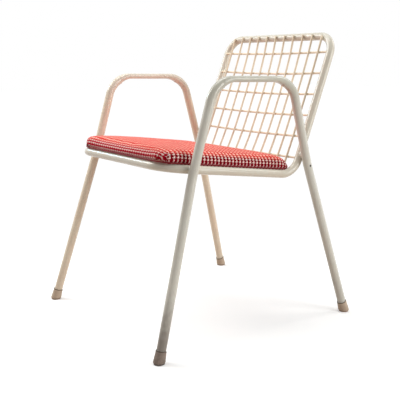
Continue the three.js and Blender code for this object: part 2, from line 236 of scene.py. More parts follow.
@dataclass
class BentPath:
    """Straight runs joined by round bends, as a polyline measured along its length.

    Args:
        corners: The first point, the corners and the last point.
        radii: A bend radius for each corner between the ends.
        bend_step: Longest step in a bend, in millimetres.
        run_step: Longest step in a straight run, in millimetres.
    """

    corners: list[Array]
    radii: list[float]
    bend_step: float = 3
    run_step: float = 12

    def __post_init__(self) -> None:
        """Lays the points out and measures the distance to each."""
        points: list[Array] = [self.corners[0]]
        for i, radius in enumerate(self.radii):
            arc = Arc(*self.corners[i:i + 3], radius)
            self._run_to(points, arc.start)
            steps = max(2, math.ceil(arc.turn * radius / self.bend_step))
            points.extend(arc.point(k / steps) for k in range(1, steps + 1))
        self._run_to(points, self.corners[-1])
        self.points = np.array(points)
        steps = np.linalg.norm(np.diff(self.points, axis=0), axis=1)
        self.marks = np.concatenate([[0.0], np.cumsum(steps)])

    def _run_to(self, points: list[Array], end: Array) -> None:
        """Adds the points of a straight run up to its end."""
        start = points[-1]
        steps = max(1, math.ceil(np.linalg.norm(end - start) / self.run_step))
        points.extend(start + (end - start) * k / steps for k in range(1, steps + 1))

    def at(self, distances: Array) -> Array:
        """The points at some distances along the path."""
        return np.stack([np.interp(distances, self.marks, self.points[:, i]) for i in range(3)], axis=1)


def tangents_of(points: Array, endless: bool = False) -> Array:
    """Unit tangents of a row of points, where endless means that the last is followed by the first."""
    if endless:
        steps = np.roll(points, -1, axis=0) - np.roll(points, 1, axis=0)
    else:
        steps = np.gradient(points, axis=0)
    return steps / np.linalg.norm(steps, axis=1, keepdims=True)


@dataclass
class Skin:
    """A surface over a row of rings of equal length, built into one mesh."""

    rings: Array
    endless: bool = False

    def faces(self) -> list[tuple[int, ...]]:
        """The skin's quads, and its end faces where it has ends."""
        count, sides = self.rings.shape[:2]
        spans = count if self.endless else count - 1
        faces: list[tuple[int, ...]] = []
        for i in range(spans):
            here, ahead = i * sides, ((i + 1) % count) * sides
            for j in range(sides):
                k = (j + 1) % sides
                faces.append((here + j, here + k, ahead + k, ahead + j))
        if not self.endless:
            faces.append(tuple(reversed(range(sides))))
            faces.append(tuple((count - 1) * sides + j for j in range(sides)))
        return faces

    def mesh(self, name: str) -> Mesh:
        """The finished mesh in metres, with its faces pointing out."""
        mesh = bpy.data.meshes.new(name)
        mesh.from_pydata((self.rings.reshape(-1, 3) * MM).tolist(), [], self.faces())
        work = bmesh.new()
        work.from_mesh(mesh)
        bmesh.ops.recalc_face_normals(work, faces=work.faces)
        work.to_mesh(mesh)
        work.free()
        return mesh


def joined(name: str, meshes: list[Mesh]) -> Mesh:
    """One mesh that holds several, which are removed."""
    work = bmesh.new()
    for mesh in meshes:
        work.from_mesh(mesh)
        bpy.data.meshes.remove(mesh)
    whole = bpy.data.meshes.new(name)
    work.to_mesh(whole)
    work.free()
    return whole


def rings_along(points: Array, tangents: Array, sides: Array,
                section: Array) -> Array:
    """Rings of a section that follows a path.

    Args:
        points: The path's points.
        tangents: The path's tangents.
        sides: The direction that the section's first axis follows, one for all points or one for each.
        section: Places across and above for each point of the section, or one set for each ring.

    Returns:
        An array of rings.
    """
    ups = np.cross(sides, tangents)
    ups /= np.linalg.norm(ups, axis=1, keepdims=True)
    squares = np.cross(tangents, ups)
    return points[:, None] + section[..., :1] * squares[:, None] + section[..., 1:] * ups[:, None]


def angles_round(count: int) -> Array:
    """Angles at even steps all the way round."""
    return np.arange(count) / count * 2 * math.pi


def circle(radius: float, sides: int) -> Array:
    """Places across and above on a circle."""
    angles = angles_round(sides)
    return np.stack([radius * np.cos(angles), radius * np.sin(angles)], axis=1)


def set_all(target: object, **settings: object) -> None:
    """Sets several properties of a Blender item."""
    for key, value in settings.items():
        setattr(target, key, value)


def add_object(name: str, data: bpy.types.ID) -> Object:
    """A new object in the scene that holds a mesh, a lamp or a camera."""
    item = bpy.data.objects.new(name, data)
    bpy.context.scene.collection.objects.link(item)
    return item


def applied(source: Object, name: str) -> Mesh:
    """A new mesh that is an object's mesh with its modifiers applied."""
    bpy.context.view_layer.update()
    graph = bpy.context.evaluated_depsgraph_get()
    mesh = bpy.data.meshes.new_from_object(source.evaluated_get(graph))
    mesh.name = name
    return mesh


def place(name: str, mesh: Mesh, material: Material, slot: Slot, body: Body,
          stands_for: tuple[str, ...] = (), crease: float = 40) -> Object:
    """Makes a piece of a mesh, dresses it and lets it ride on its body.

    Args:
        name: Name of the piece.
        mesh: Its mesh, in metres in the chair's frame.
        material: Its material.
        slot: Not used.
        body: The body it rides on.
        stands_for: The CAD nodes that it stands for, if any.
        crease: Angle in degrees past which an edge stays sharp.

    Returns:
        The new object.
    """
    piece = add_object(name, mesh)
    mesh.materials.clear()
    mesh.materials.append(material)
    mesh.polygons.foreach_set("use_smooth", [True] * len(mesh.polygons))
    if crease < NO_CREASE:
        mesh.set_sharp_from_angle(angle=math.radians(crease))
    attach(piece, body.value)
    if stands_for:
        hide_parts(*stands_for)
    LOG.info("%s: %d faces on %s", name, len(mesh.polygons), body.value)
    return piece


class NodeNet:
    """A small helper that adds and links the nodes of a material, a node group or the world."""

    def __init__(self, tree: NodeTree) -> None:
        """Starts on an existing tree."""
        self.tree = tree

    def feed(self, node: Node, inputs: Inputs) -> None:
        """Links sockets to a node's inputs or sets their values, by name or number."""
        for key, value in inputs.items():
            if isinstance(value, Socket):
                self.tree.links.new(value, node.inputs[key])
            else:
                node.inputs[key].default_value = value

    def add(self, kind: str, inputs: Inputs | None = None,
            **settings: object) -> NodeOutputs:
        """Adds a node.

        Args:
            kind: The node's type name.
            inputs: Values or sockets for its inputs, by name or number.
            **settings: The node's own properties.

        Returns:
            The new node's outputs.
        """
        node = self.tree.nodes.new(kind)
        set_all(node, **settings)
        self.feed(node, inputs or {})
        return node.outputs

    def use(self, tree: NodeTree, **inputs: object) -> NodeOutputs:
        """Places a node group and gives its outputs."""
        return self.add("ShaderNodeGroup", inputs, node_tree=tree)

    def math(self, operation: str, *values: object) -> Socket:
        """A Math node's output for an operation on up to three values or sockets."""
        return self.add("ShaderNodeMath", dict(enumerate(values)), operation=operation)[0]

    def vector(self, operation: str, *values: object) -> NodeOutputs:
        """A Vector Math node's outputs for an operation on vectors."""
        return self.add("ShaderNodeVectorMath", dict(enumerate(values)), operation=operation)

    def axes(self, vector: Socket) -> NodeOutputs:
        """The X, Y and Z of a vector."""
        return self.add("ShaderNodeSeparateXYZ", {"Vector": vector})

    def ramp(self, value: object, low: float, high: float, to_low: object = 0.0,
             to_high: object = 1.0) -> Socket:
        """A smooth step of a value from one range to another."""
        inputs = {"Value": value, "From Min": low, "From Max": high, "To Min": to_low, "To Max": to_high}
        return self.add("ShaderNodeMapRange", inputs, interpolation_type="SMOOTHSTEP")["Result"]

    def mix(self, share: object, first: object, second: object, blend: str = "MIX") -> Socket:
        """A colour mixed from two by a share."""
        inputs = {0: share, 6: first, 7: second}
        return self.add("ShaderNodeMix", inputs, data_type="RGBA", blend_type=blend)[2]

    def noise(self, spot: Socket, scale: object, detail: float = 3) -> Socket:
        """A noise value at a place."""
        return self.add("ShaderNodeTexNoise", {"Vector": spot, "Scale": scale, "Detail": detail})["Fac"]

    def bump(self, height: Socket, strength: float, distance: float) -> Socket:
        """A normal that follows a height, whose full rise is a distance in metres."""
        inputs = {"Height": height, "Strength": strength, "Distance": distance}
        return self.add("ShaderNodeBump", inputs)["Normal"]

    def seen(self) -> Socket:
        """One for what the camera sees, directly, mirrored or through glass, and else nothing."""
        path = self.add("ShaderNodeLightPath")
        shown = self.math("MAXIMUM", path["Is Camera Ray"], path["Is Glossy Ray"])
        return self.math("MAXIMUM", shown, path["Is Transmission Ray"])


def linear(colour: Colour) -> Linear:
    """A screen colour from 0 to 255 as Blender's linear colour."""
    def channel(value: float) -> float:
        """One channel in linear light."""
        share = value / 255
        return share / 12.92 if share <= 0.04045 else ((share + 0.055) / 1.055) ** 2.4
    return (channel(colour[0]), channel(colour[1]), channel(colour[2]), 1.0)


def new_group(name: str, inputs: dict[str, str],
              outputs: dict[str, str]) -> tuple[NodeNet, NodeOutputs, Node]:
    """Starts a shader node group.

    Args:
        name: The group's name.
        inputs: Socket type by input name.
        outputs: Socket type by output name.

    Returns:
        The group's helper, its inner inputs and its output node.
    """
    tree = bpy.data.node_groups.new(name, "ShaderNodeTree")
    for direction, sockets in (("INPUT", inputs), ("OUTPUT", outputs)):
        for label, kind in sockets.items():
            tree.interface.new_socket(label, in_out=direction, socket_type=kind)
    return NodeNet(tree), tree.nodes.new("NodeGroupInput").outputs, tree.nodes.new("NodeGroupOutput")


@dataclass(frozen=True)
class SurfaceEffects:
    """Node groups that several finishes share, built once."""

    mottle: NodeTree
    chips: NodeTree
    peel: NodeTree
    splash: NodeTree

    @staticmethod
    def build() -> "SurfaceEffects":
        """Builds every shared group."""
        return SurfaceEffects(_mottle_group(), _chip_group(), _peel_group(), _splash_group())


class MaterialNet(NodeNet):
    """The nodes of a material, with the place on the object and the effects that finishes share."""

    def __init__(self, tree: NodeTree, effects: SurfaceEffects) -> None:
        """Starts on a material's tree."""
        super().__init__(tree)
        self.effects = effects
        self.spot = self.add("ShaderNodeTexCoord")["Object"]

    def mottled(self, colour: Linear, tint: Linear, scale: float, amount: float) -> Socket:
        """A colour that slowly changes to a tint and back over a surface."""
        return self.use(self.effects.mottle, Place=self.spot, Scale=scale, Colour=colour, Tint=tint,
                        Amount=amount)["Colour"]

    def chipped(self, scale: float, cover: float) -> Socket:
        """A mask of small chips."""
        return self.use(self.effects.chips, Place=self.spot, Scale=scale, Cover=cover)["Mask"]

    def grain(self, scale: float, detail: float = 3) -> Socket:
        """A noise value at the place on the object."""
        return self.noise(self.spot, scale, detail)


def _mottle_group() -> NodeTree:
    """A slow change of tone over a surface, from two sizes of noise."""
    finer, fine_share, blend = 9.0, 0.35, (0.38, 0.62)
    net, given, leave = new_group(
        "slow_mottle", {"Place": VECTOR, "Scale": FLOAT, "Colour": COLOUR, "Tint": COLOUR, "Amount": FLOAT},
        {"Colour": COLOUR})
    broad = net.noise(given["Place"], given["Scale"], 4)
    fine = net.noise(given["Place"], net.math("MULTIPLY", given["Scale"], finer), 2)
    both = net.math("MULTIPLY_ADD", fine, fine_share, net.math("MULTIPLY", broad, 1 - fine_share))
    share = net.math("MULTIPLY", net.ramp(both, *blend), given["Amount"])
    net.feed(leave, {"Colour": net.mix(share, given["Colour"], given["Tint"])})
    return net.tree


def _chip_group() -> NodeTree:
    """Small chips and specks where the coat has gone, as a mask."""
    patch_scale, patch_range, soft_edge = 0.12, (0.56, 0.74), (-0.02, 0.06)
    net, given, leave = new_group("coat_chips", {"Place": VECTOR, "Scale": FLOAT, "Cover": FLOAT},
                                  {"Mask": FLOAT})
    cells = net.add("ShaderNodeTexVoronoi", {"Vector": given["Place"], "Scale": given["Scale"],
                                             "Randomness": 1.0}, feature="F1")
    patches = net.noise(given["Place"], net.math("MULTIPLY", given["Scale"], patch_scale))
    reach = net.math("MULTIPLY", net.ramp(patches, *patch_range), given["Cover"])
    inside = net.math("SUBTRACT", reach, cells["Distance"])
    net.feed(leave, {"Mask": net.ramp(inside, *soft_edge)})
    return net.tree


def _peel_group() -> NodeTree:
    """The faint waviness of a sprayed coat and its slower runs, as a height."""
    run_scale, run_height = 0.15, 2.0
    net, given, leave = new_group("sprayed_peel", {"Place": VECTOR, "Scale": FLOAT}, {"Height": FLOAT})
    waves = net.noise(given["Place"], given["Scale"], 1.5)
    runs = net.noise(given["Place"], net.math("MULTIPLY", given["Scale"], run_scale), 1)
    net.feed(leave, {"Height": net.math("MULTIPLY_ADD", runs, run_height, waves)})
    return net.tree


def _splash_group() -> NodeTree:
    """Dirt splashed up from the ground, thick near the floor and broken up higher, as a mask."""
    speck_scale, breakup, thinning, half_way = 60.0, 0.5, (1.25, 0.25), 0.05
    net, given, leave = new_group(
        "ground_splash", {"Place": VECTOR, "Reach": FLOAT, "Front": FLOAT, "Rear": FLOAT}, {"Mask": FLOAT})
    parts = net.axes(given["Place"])
    height = net.math("DIVIDE", parts["Z"], given["Reach"])
    broken = net.math("MULTIPLY_ADD", net.noise(given["Place"], speck_scale, 5), breakup, -breakup / 2)
    low = net.ramp(net.math("ADD", height, broken), *thinning)
    amount = net.ramp(parts["Y"], -half_way, half_way, given["Front"], given["Rear"])
    net.feed(leave, {"Mask": net.math("MULTIPLY", low, amount)})
    return net.tree


@dataclass(frozen=True)
class Finish:
    """A procedural material. Colours are screen colours from 0 to 255, and sizes are in metres."""

    name: str

    def build(self, effects: SurfaceEffects) -> Material:
        """Builds the material from the shared effects."""
        material = bpy.data.materials.new(self.name)
        material.use_nodes = True
        net = MaterialNet(material.node_tree, effects)
        net.feed(material.node_tree.nodes["Principled BSDF"], self.shade(net))
        return material

    def shade(self, net: MaterialNet) -> Inputs:
        """Adds the finish's nodes and gives the Principled shader's inputs, by name."""
        raise NotImplementedError


@dataclass(frozen=True)
class Enamel(Finish):
    """Enamel on steel, with slow mottling, small chips, dirt from the ground and painted shade that darkens
    the arms.
    """

    coat: Colour = (212, 208, 195)
    tint: Colour = (209, 197, 180)
    chip: Colour = (150, 132, 112)
    dirt: Colour = (128, 116, 98)
    # The darker colour of the painted shade on the arms.
    handled: Colour = (188, 186, 172)
    mottle: float = 0.5
    mottle_scale: float = 14
    chip_cover: float = 0.25
    chip_scale: float = 420
    chip_share: float = 0.6
    dirt_amount: float = 0.12
    dirt_front: float = 0.12
    dirt_reach: float = 0.12
    handled_share: float = 0.0
    handled_from: float = 0.56
    handled_to: float = 0.63
    handled_scale: float = 25
    handled_wave: float = 0.04
    peel_scale: float = 260
    bump: float = 0.12
    bump_rise: float = 0.0006
    roughness: float = 0.24
    worn_roughness: float = 0.62
    gloss: float = 0.5

    def shade(self, net: MaterialNet) -> Inputs:
        """Adds the finish's nodes and gives the shader's inputs."""
        colour = net.mottled(linear(self.coat), linear(self.tint), self.mottle_scale, self.mottle)
        dirt = net.use(net.effects.splash, Place=net.spot, Reach=self.dirt_reach, Rear=self.dirt_amount,
                       Front=self.dirt_front)["Mask"]
        chips = net.chipped(self.chip_scale, self.chip_cover)
        peel = net.use(net.effects.peel, Place=net.spot, Scale=self.peel_scale)["Height"]
        # Painted shade: over the arms, from about 0.56 m up, the coat is mixed towards a darker colour.
        wavy = net.math("MULTIPLY_ADD", net.grain(self.handled_scale), self.handled_wave,
                        net.axes(net.spot)["Z"])
        handled = net.ramp(wavy, self.handled_from, self.handled_to, 0.0, self.handled_share)
        colour = net.mix(handled, colour, linear(self.handled))
        colour = net.mix(dirt, colour, linear(self.dirt))
        colour = net.mix(net.math("MULTIPLY", chips, self.chip_share), colour, linear(self.chip))
        worn = net.math("MAXIMUM", dirt, chips)
        height = net.math("SUBTRACT", peel, chips)
        return {"Base Color": colour, "Normal": net.bump(height, self.bump, self.bump_rise),
                "Roughness": net.ramp(worn, 0, 1, self.roughness, self.worn_roughness),
                "Coat Weight": self.gloss, "Coat Roughness": 0.07, "Specular IOR Level": 0.2}


@dataclass(frozen=True)
class MouldedCap(Finish):
    """Scuffed grey-brown moulded plastic with a fine sandy grain and a darker sole."""

    name: str = "cap_plastic"
    body: Colour = (198, 180, 160)
    tint: Colour = (176, 156, 136)
    scuff: Colour = (222, 208, 190)
    sole: Colour = (138, 118, 100)
    sole_height: float = 0.0045
    sole_blend: float = 0.8
    scuff_share: float = 0.5
    sole_share: float = 0.75

    def shade(self, net: MaterialNet) -> Inputs:
        """Adds the finish's nodes and gives the shader's inputs."""
        tone = net.mottled(linear(self.body), linear(self.tint), scale=55, amount=0.8)
        scuffs = net.math("MULTIPLY", net.chipped(scale=380, cover=0.4), self.scuff_share)
        low = net.ramp(net.axes(net.spot)["Z"], self.sole_height, self.sole_height * self.sole_blend)
        colour = net.mix(scuffs, tone, linear(self.scuff))
        colour = net.mix(net.math("MULTIPLY", low, self.sole_share), colour, linear(self.sole))
        normal = net.bump(net.grain(scale=1500, detail=2), strength=0.25, distance=0.0004)
        return {"Base Color": colour, "Normal": normal, "Roughness": 0.58}


@dataclass(frozen=True)
class DullSteel(Finish):
    """Bare, slightly rusty steel inside the drilled hole, and in darker tones the painted shade at a cap's
    lip.
    """

    name: str = "bare_steel"
    metal: Colour = (72, 64, 56)
    rust: Colour = (96, 66, 48)

    def shade(self, net: MaterialNet) -> Inputs:
        """Adds the finish's nodes and gives the shader's inputs."""
        tone = net.mottled(linear(self.metal), linear(self.rust), scale=300, amount=0.9)
        return {"Base Color": tone, "Roughness": 0.7, "Metallic": 0.4}


@dataclass(frozen=True)
class WeltCloth(Finish):
    """The plain dusty red tape of the sewn welt, with its threads on a slant and painted shade in the grooves
    between them.
    """

    name: str = "welt_cloth"
    red: Colour = (138, 18, 30)
    dark: Colour = (92, 6, 18)
    thread: float = 0.0009
    groove: float = 0.5

    def shade(self, net: MaterialNet) -> Inputs:
        """Adds the finish's nodes and gives the shader's inputs."""
        parts = net.axes(net.spot)
        along = net.math("ADD", net.math("ADD", parts["X"], parts["Y"]), parts["Z"])
        slant = net.math("DIVIDE", along, self.thread)
        ridge = net.math("SINE", net.math("MULTIPLY", net.math("FRACT", slant), math.pi))
        tone = net.mottled(linear(self.red), linear(self.dark), scale=60, amount=0.5)
        # Painted shade: the grooves between the threads are mixed towards the dark red.
        return {"Base Color": net.mix(net.ramp(ridge, self.groove, 0.0), tone, linear(self.dark)),
                "Normal": net.bump(ridge, strength=0.4, distance=0.0004), "Roughness": 0.9,
                "Sheen Weight": 0.1}


@dataclass(frozen=True)
class Houndstooth(Finish):
    """A red and off-white woven check whose teeth come from the weave itself, with painted light on its top
    and ends and painted shade on its low part.

    Warp and weft both run two threads off-white and four red, and a three-and-three twill decides which
    of them lies on top. The pattern wraps from the top over the cushion's edges.
    """

    seat: "SeatPlane"
    half_width: float
    length: float
    corner: float
    edge_height: float
    repeat: float = 0.0108
    side_stretch: float = 1.2
    lit_top_reach: float = 0.009
    end_blend: float = 0.006
    lit_end_share: float = 0.8
    low_share: float = 0.85
    slub_range: tuple[float, float] = (0.35, 0.65)
    red: Colour = (152, 0, 26)
    deep_red: Colour = (112, 0, 18)
    # A brighter red for the painted light on the front and rear faces.
    end_red: Colour = (196, 0, 38)
    shaded_red: Colour = (138, 0, 26)
    cream: Colour = (255, 234, 228)
    shaded_cream: Colour = (255, 188, 188)
    # Colours of the painted light on the cushion's top.
    lit_top_red: Colour = (226, 72, 66)
    lit_top_cream: Colour = (255, 208, 192)
    soil: Linear = (0.86, 0.82, 0.8, 1)

    def shade(self, net: MaterialNet) -> Inputs:
        """Adds the finish's nodes and gives the shader's inputs."""
        cloth = net.use(self._wrap_group(), Place=net.spot)
        weave = net.use(_weave_group(), Across=cloth["Across"], Along=cloth["Along"], Repeat=self.repeat)
        slub = net.ramp(net.grain(scale=900, detail=2), *self.slub_range)
        red = net.mix(slub, linear(self.deep_red), linear(self.red))
        # Painted light: the front and rear faces are mixed towards a brighter red.
        red = net.mix(net.math("MULTIPLY", cloth["End"], self.lit_end_share), red, linear(self.end_red))
        red = net.mix(cloth["Low"], red, linear(self.shaded_red))
        # Painted light: the top is mixed towards a lighter red and cream.
        red = net.mix(cloth["Top"], red, linear(self.lit_top_red))
        cream = net.mix(cloth["Low"], linear(self.cream), linear(self.shaded_cream))
        cream = net.mix(cloth["Top"], cream, linear(self.lit_top_cream))
        soil = net.mottled(WHITE, self.soil, scale=9, amount=0.5)
        return {"Base Color": net.mix(1.0, net.mix(weave["Mask"], red, cream), soil, blend="MULTIPLY"),
                "Normal": net.bump(weave["Height"], strength=0.5, distance=0.0006), "Roughness": 0.88,
                "Sheen Weight": 0.01, "Sheen Roughness": 0.5, "Specular IOR Level": 0.05}

    def _wrap_group(self) -> NodeTree:
        """Places on the cloth, unrolled over its edges, with masks of its ends, its top and its low part."""
        net, given, leave = new_group("cloth_wrap", {"Place": VECTOR},
                                      dict.fromkeys(("Across", "Along", "End", "Top", "Low"), FLOAT))
        shifted = net.vector("SUBTRACT", given["Place"], self.seat.origin_m)[0]
        across, along, above = (net.vector("DOT_PRODUCT", shifted, tuple(axis))["Value"]
                                for axis in (ACROSS, self.seat.along, self.seat.normal))
        along = net.math("SUBTRACT", along, self.length / 2)
        drop = net.math("MAXIMUM", net.math("SUBTRACT", self.edge_height, above), 0.0)
        unrolled = net.math("MULTIPLY", drop, self.side_stretch)

        def past(value: Socket, straight: float) -> Socket:
            """How far a place lies past the straight part of a side."""
            return net.math("MAXIMUM", net.math("SUBTRACT", net.math("ABSOLUTE", value), straight), 0.0)

        def carried(value: Socket, out: Socket, other: Socket) -> Socket:
            """A place along one axis, carried on down the sides that face along it."""
            shift = net.math("MULTIPLY", net.math("GREATER_THAN", out, other), unrolled)
            return net.math("ADD", value, net.math("MULTIPLY", shift, net.math("SIGN", value)))

        side = past(across, self.half_width - self.corner)
        end = past(along, self.length / 2 - self.corner)
        net.feed(leave, {"Across": carried(across, side, end), "Along": carried(along, end, side),
                         "End": net.ramp(net.math("SUBTRACT", end, side), -self.end_blend, self.end_blend),
                         "Top": net.ramp(drop, self.lit_top_reach, 0.0),
                         "Low": net.ramp(drop, self.lit_top_reach, self.edge_height * self.low_share)})
        return net.tree


def _weave_group() -> NodeTree:
    """The houndstooth: which colour shows, and how high the threads stand."""
    threads, light_threads, twill, full_rise = 6.0, 2.0, 6.0, 0.7
    net, given, leave = new_group("houndstooth_weave", {"Across": FLOAT, "Along": FLOAT, "Repeat": FLOAT},
                                  {"Mask": FLOAT, "Height": FLOAT})

    def thread(value: Socket) -> tuple[Socket, Socket, Socket]:
        """A thread's number, the place across it, and one where it is off-white."""
        at = net.math("MULTIPLY", net.math("DIVIDE", value, given["Repeat"]), threads)
        number = net.math("FLOOR", at)
        light = net.math("LESS_THAN", net.math("FLOORED_MODULO", number, threads), light_threads)
        return number, net.math("FRACT", at), light

    warp, warp_place, warp_light = thread(given["Across"])
    weft, weft_place, weft_light = thread(given["Along"])
    step = net.math("FLOORED_MODULO", net.math("SUBTRACT", warp, weft), twill)
    warp_up = net.math("LESS_THAN", step, twill / 2)

    def upper(of_weft: Socket, of_warp: Socket) -> Socket:
        """The value of whichever thread lies on top."""
        return net.add("ShaderNodeMix", {0: warp_up, 2: of_weft, 3: of_warp}, data_type="FLOAT")[0]

    round_top = net.math("SINE", net.math("MULTIPLY", upper(weft_place, warp_place), math.pi))
    # Painted shade: an off-white thread shows red towards its edges, in the gaps between threads, except
    # where two off-white threads cross.
    cover = net.math("MAXIMUM", net.math("MULTIPLY", warp_light, weft_light),
                     net.ramp(round_top, 0.0, full_rise))
    shown = net.math("MULTIPLY", upper(weft_light, warp_light), cover)
    net.feed(leave, {"Mask": shown, "Height": round_top})
    return net.tree


class Profile:
    """The seat line and the back line in the YZ plane, joined by a bend."""

    front = np.array([0, -SIZES.seat_front_reach, SIZES.seat_front_height])
    corner = np.array([0, SIZES.seat_rear_reach, SIZES.seat_rear_height])
    top = np.array([0, SIZES.back_top_reach, SIZES.back_top_height])

    def __init__(self, bend: float) -> None:
        """Measures the profile for a bend radius."""
        self.bend = bend
        self.arc = Arc(self.front, self.corner, self.top, bend)
        self.seat_length = float(np.linalg.norm(self.corner - self.front))
        self.back_length = float(np.linalg.norm(self.top - self.corner))
        self.seat_along = unit(self.corner - self.front)
        self.back_along = unit(self.top - self.corner)
        self.seat_run = self.seat_length - self.arc.reach
        self.back_start = self.seat_run + bend * self.arc.turn
        self.length = self.back_start + self.back_length - self.arc.reach

    def at(self, distance: float) -> tuple[Array, Array, Array]:
        """Point, direction along and normal towards the sitter, at a distance from the front."""
        along = self.seat_along
        point = self.front + along * distance
        if distance > self.back_start:
            along = self.back_along
            point = self.top + along * (distance - self.length)
        elif distance > self.seat_run:
            share = (distance - self.seat_run) / (self.back_start - self.seat_run)
            turn = share * self.arc.turn
            _, y, z = self.seat_along
            along = np.array([0, y * math.cos(turn) - z * math.sin(turn),
                              y * math.sin(turn) + z * math.cos(turn)])
            point = self.arc.point(share)
        return point, along, np.cross(ACROSS, along)

    def locate(self, points: Array) -> tuple[Array, Array, Array]:
        """Distance along the profile, height above it and its normal, for each of some points."""
        seat_normal, back_normal = np.cross(ACROSS, self.seat_along), np.cross(ACROSS, self.back_along)
        inward = self.arc.centre - points
        inward[:, 0] = 0
        from_centre = np.maximum(np.linalg.norm(inward, axis=1), TINY)
        on_seat = (points - self.arc.start) @ self.seat_along <= 0
        on_back = ~on_seat & ((points - self.arc.end) @ self.back_along >= 0)
        turn = np.arccos(np.clip(inward @ seat_normal / from_centre, -1, 1))
        distance = np.where(on_seat, (points - self.front) @ self.seat_along,
                            np.where(on_back, self.length + (points - self.top) @ self.back_along,
                                     self.seat_run + np.minimum(turn, self.arc.turn) * self.bend))
        above = np.where(on_seat, (points - self.front) @ seat_normal,
                         np.where(on_back, (points - self.top) @ back_normal, self.bend - from_centre))
        normal = np.where(on_seat[:, None], seat_normal,
                          np.where(on_back[:, None], back_normal, inward / from_centre[:, None]))
        return distance, above, normal

    def place(self, across: float, distance: float, above: float) -> Array:
        """A place across the chair, along the profile and above it."""
        point, _, normal = self.at(distance)
        return point + ACROSS * across + normal * above


LOOP_LINE = Profile(SIZES.seat_back_bend)


class SeatPlane:
    """The sloping plane of the seat, with places across, along and above it in millimetres."""

    along = LOOP_LINE.seat_along
    normal = np.cross(ACROSS, LOOP_LINE.seat_along)
    origin = LOOP_LINE.front
    origin_m = tuple(LOOP_LINE.front * MM)

    def to_chair(self, places: Array) -> Array:
        """Places in the plane as points of the chair."""
        return (self.origin + places[..., :1] * ACROSS + places[..., 1:2] * self.along
                + places[..., 2:] * self.normal)

    def from_chair(self, points: Array) -> Array:
        """Points of the chair as places in the plane."""
        shifted = points - self.origin
        return np.stack([shifted[..., 0], shifted @ self.along, shifted @ self.normal], axis=-1)


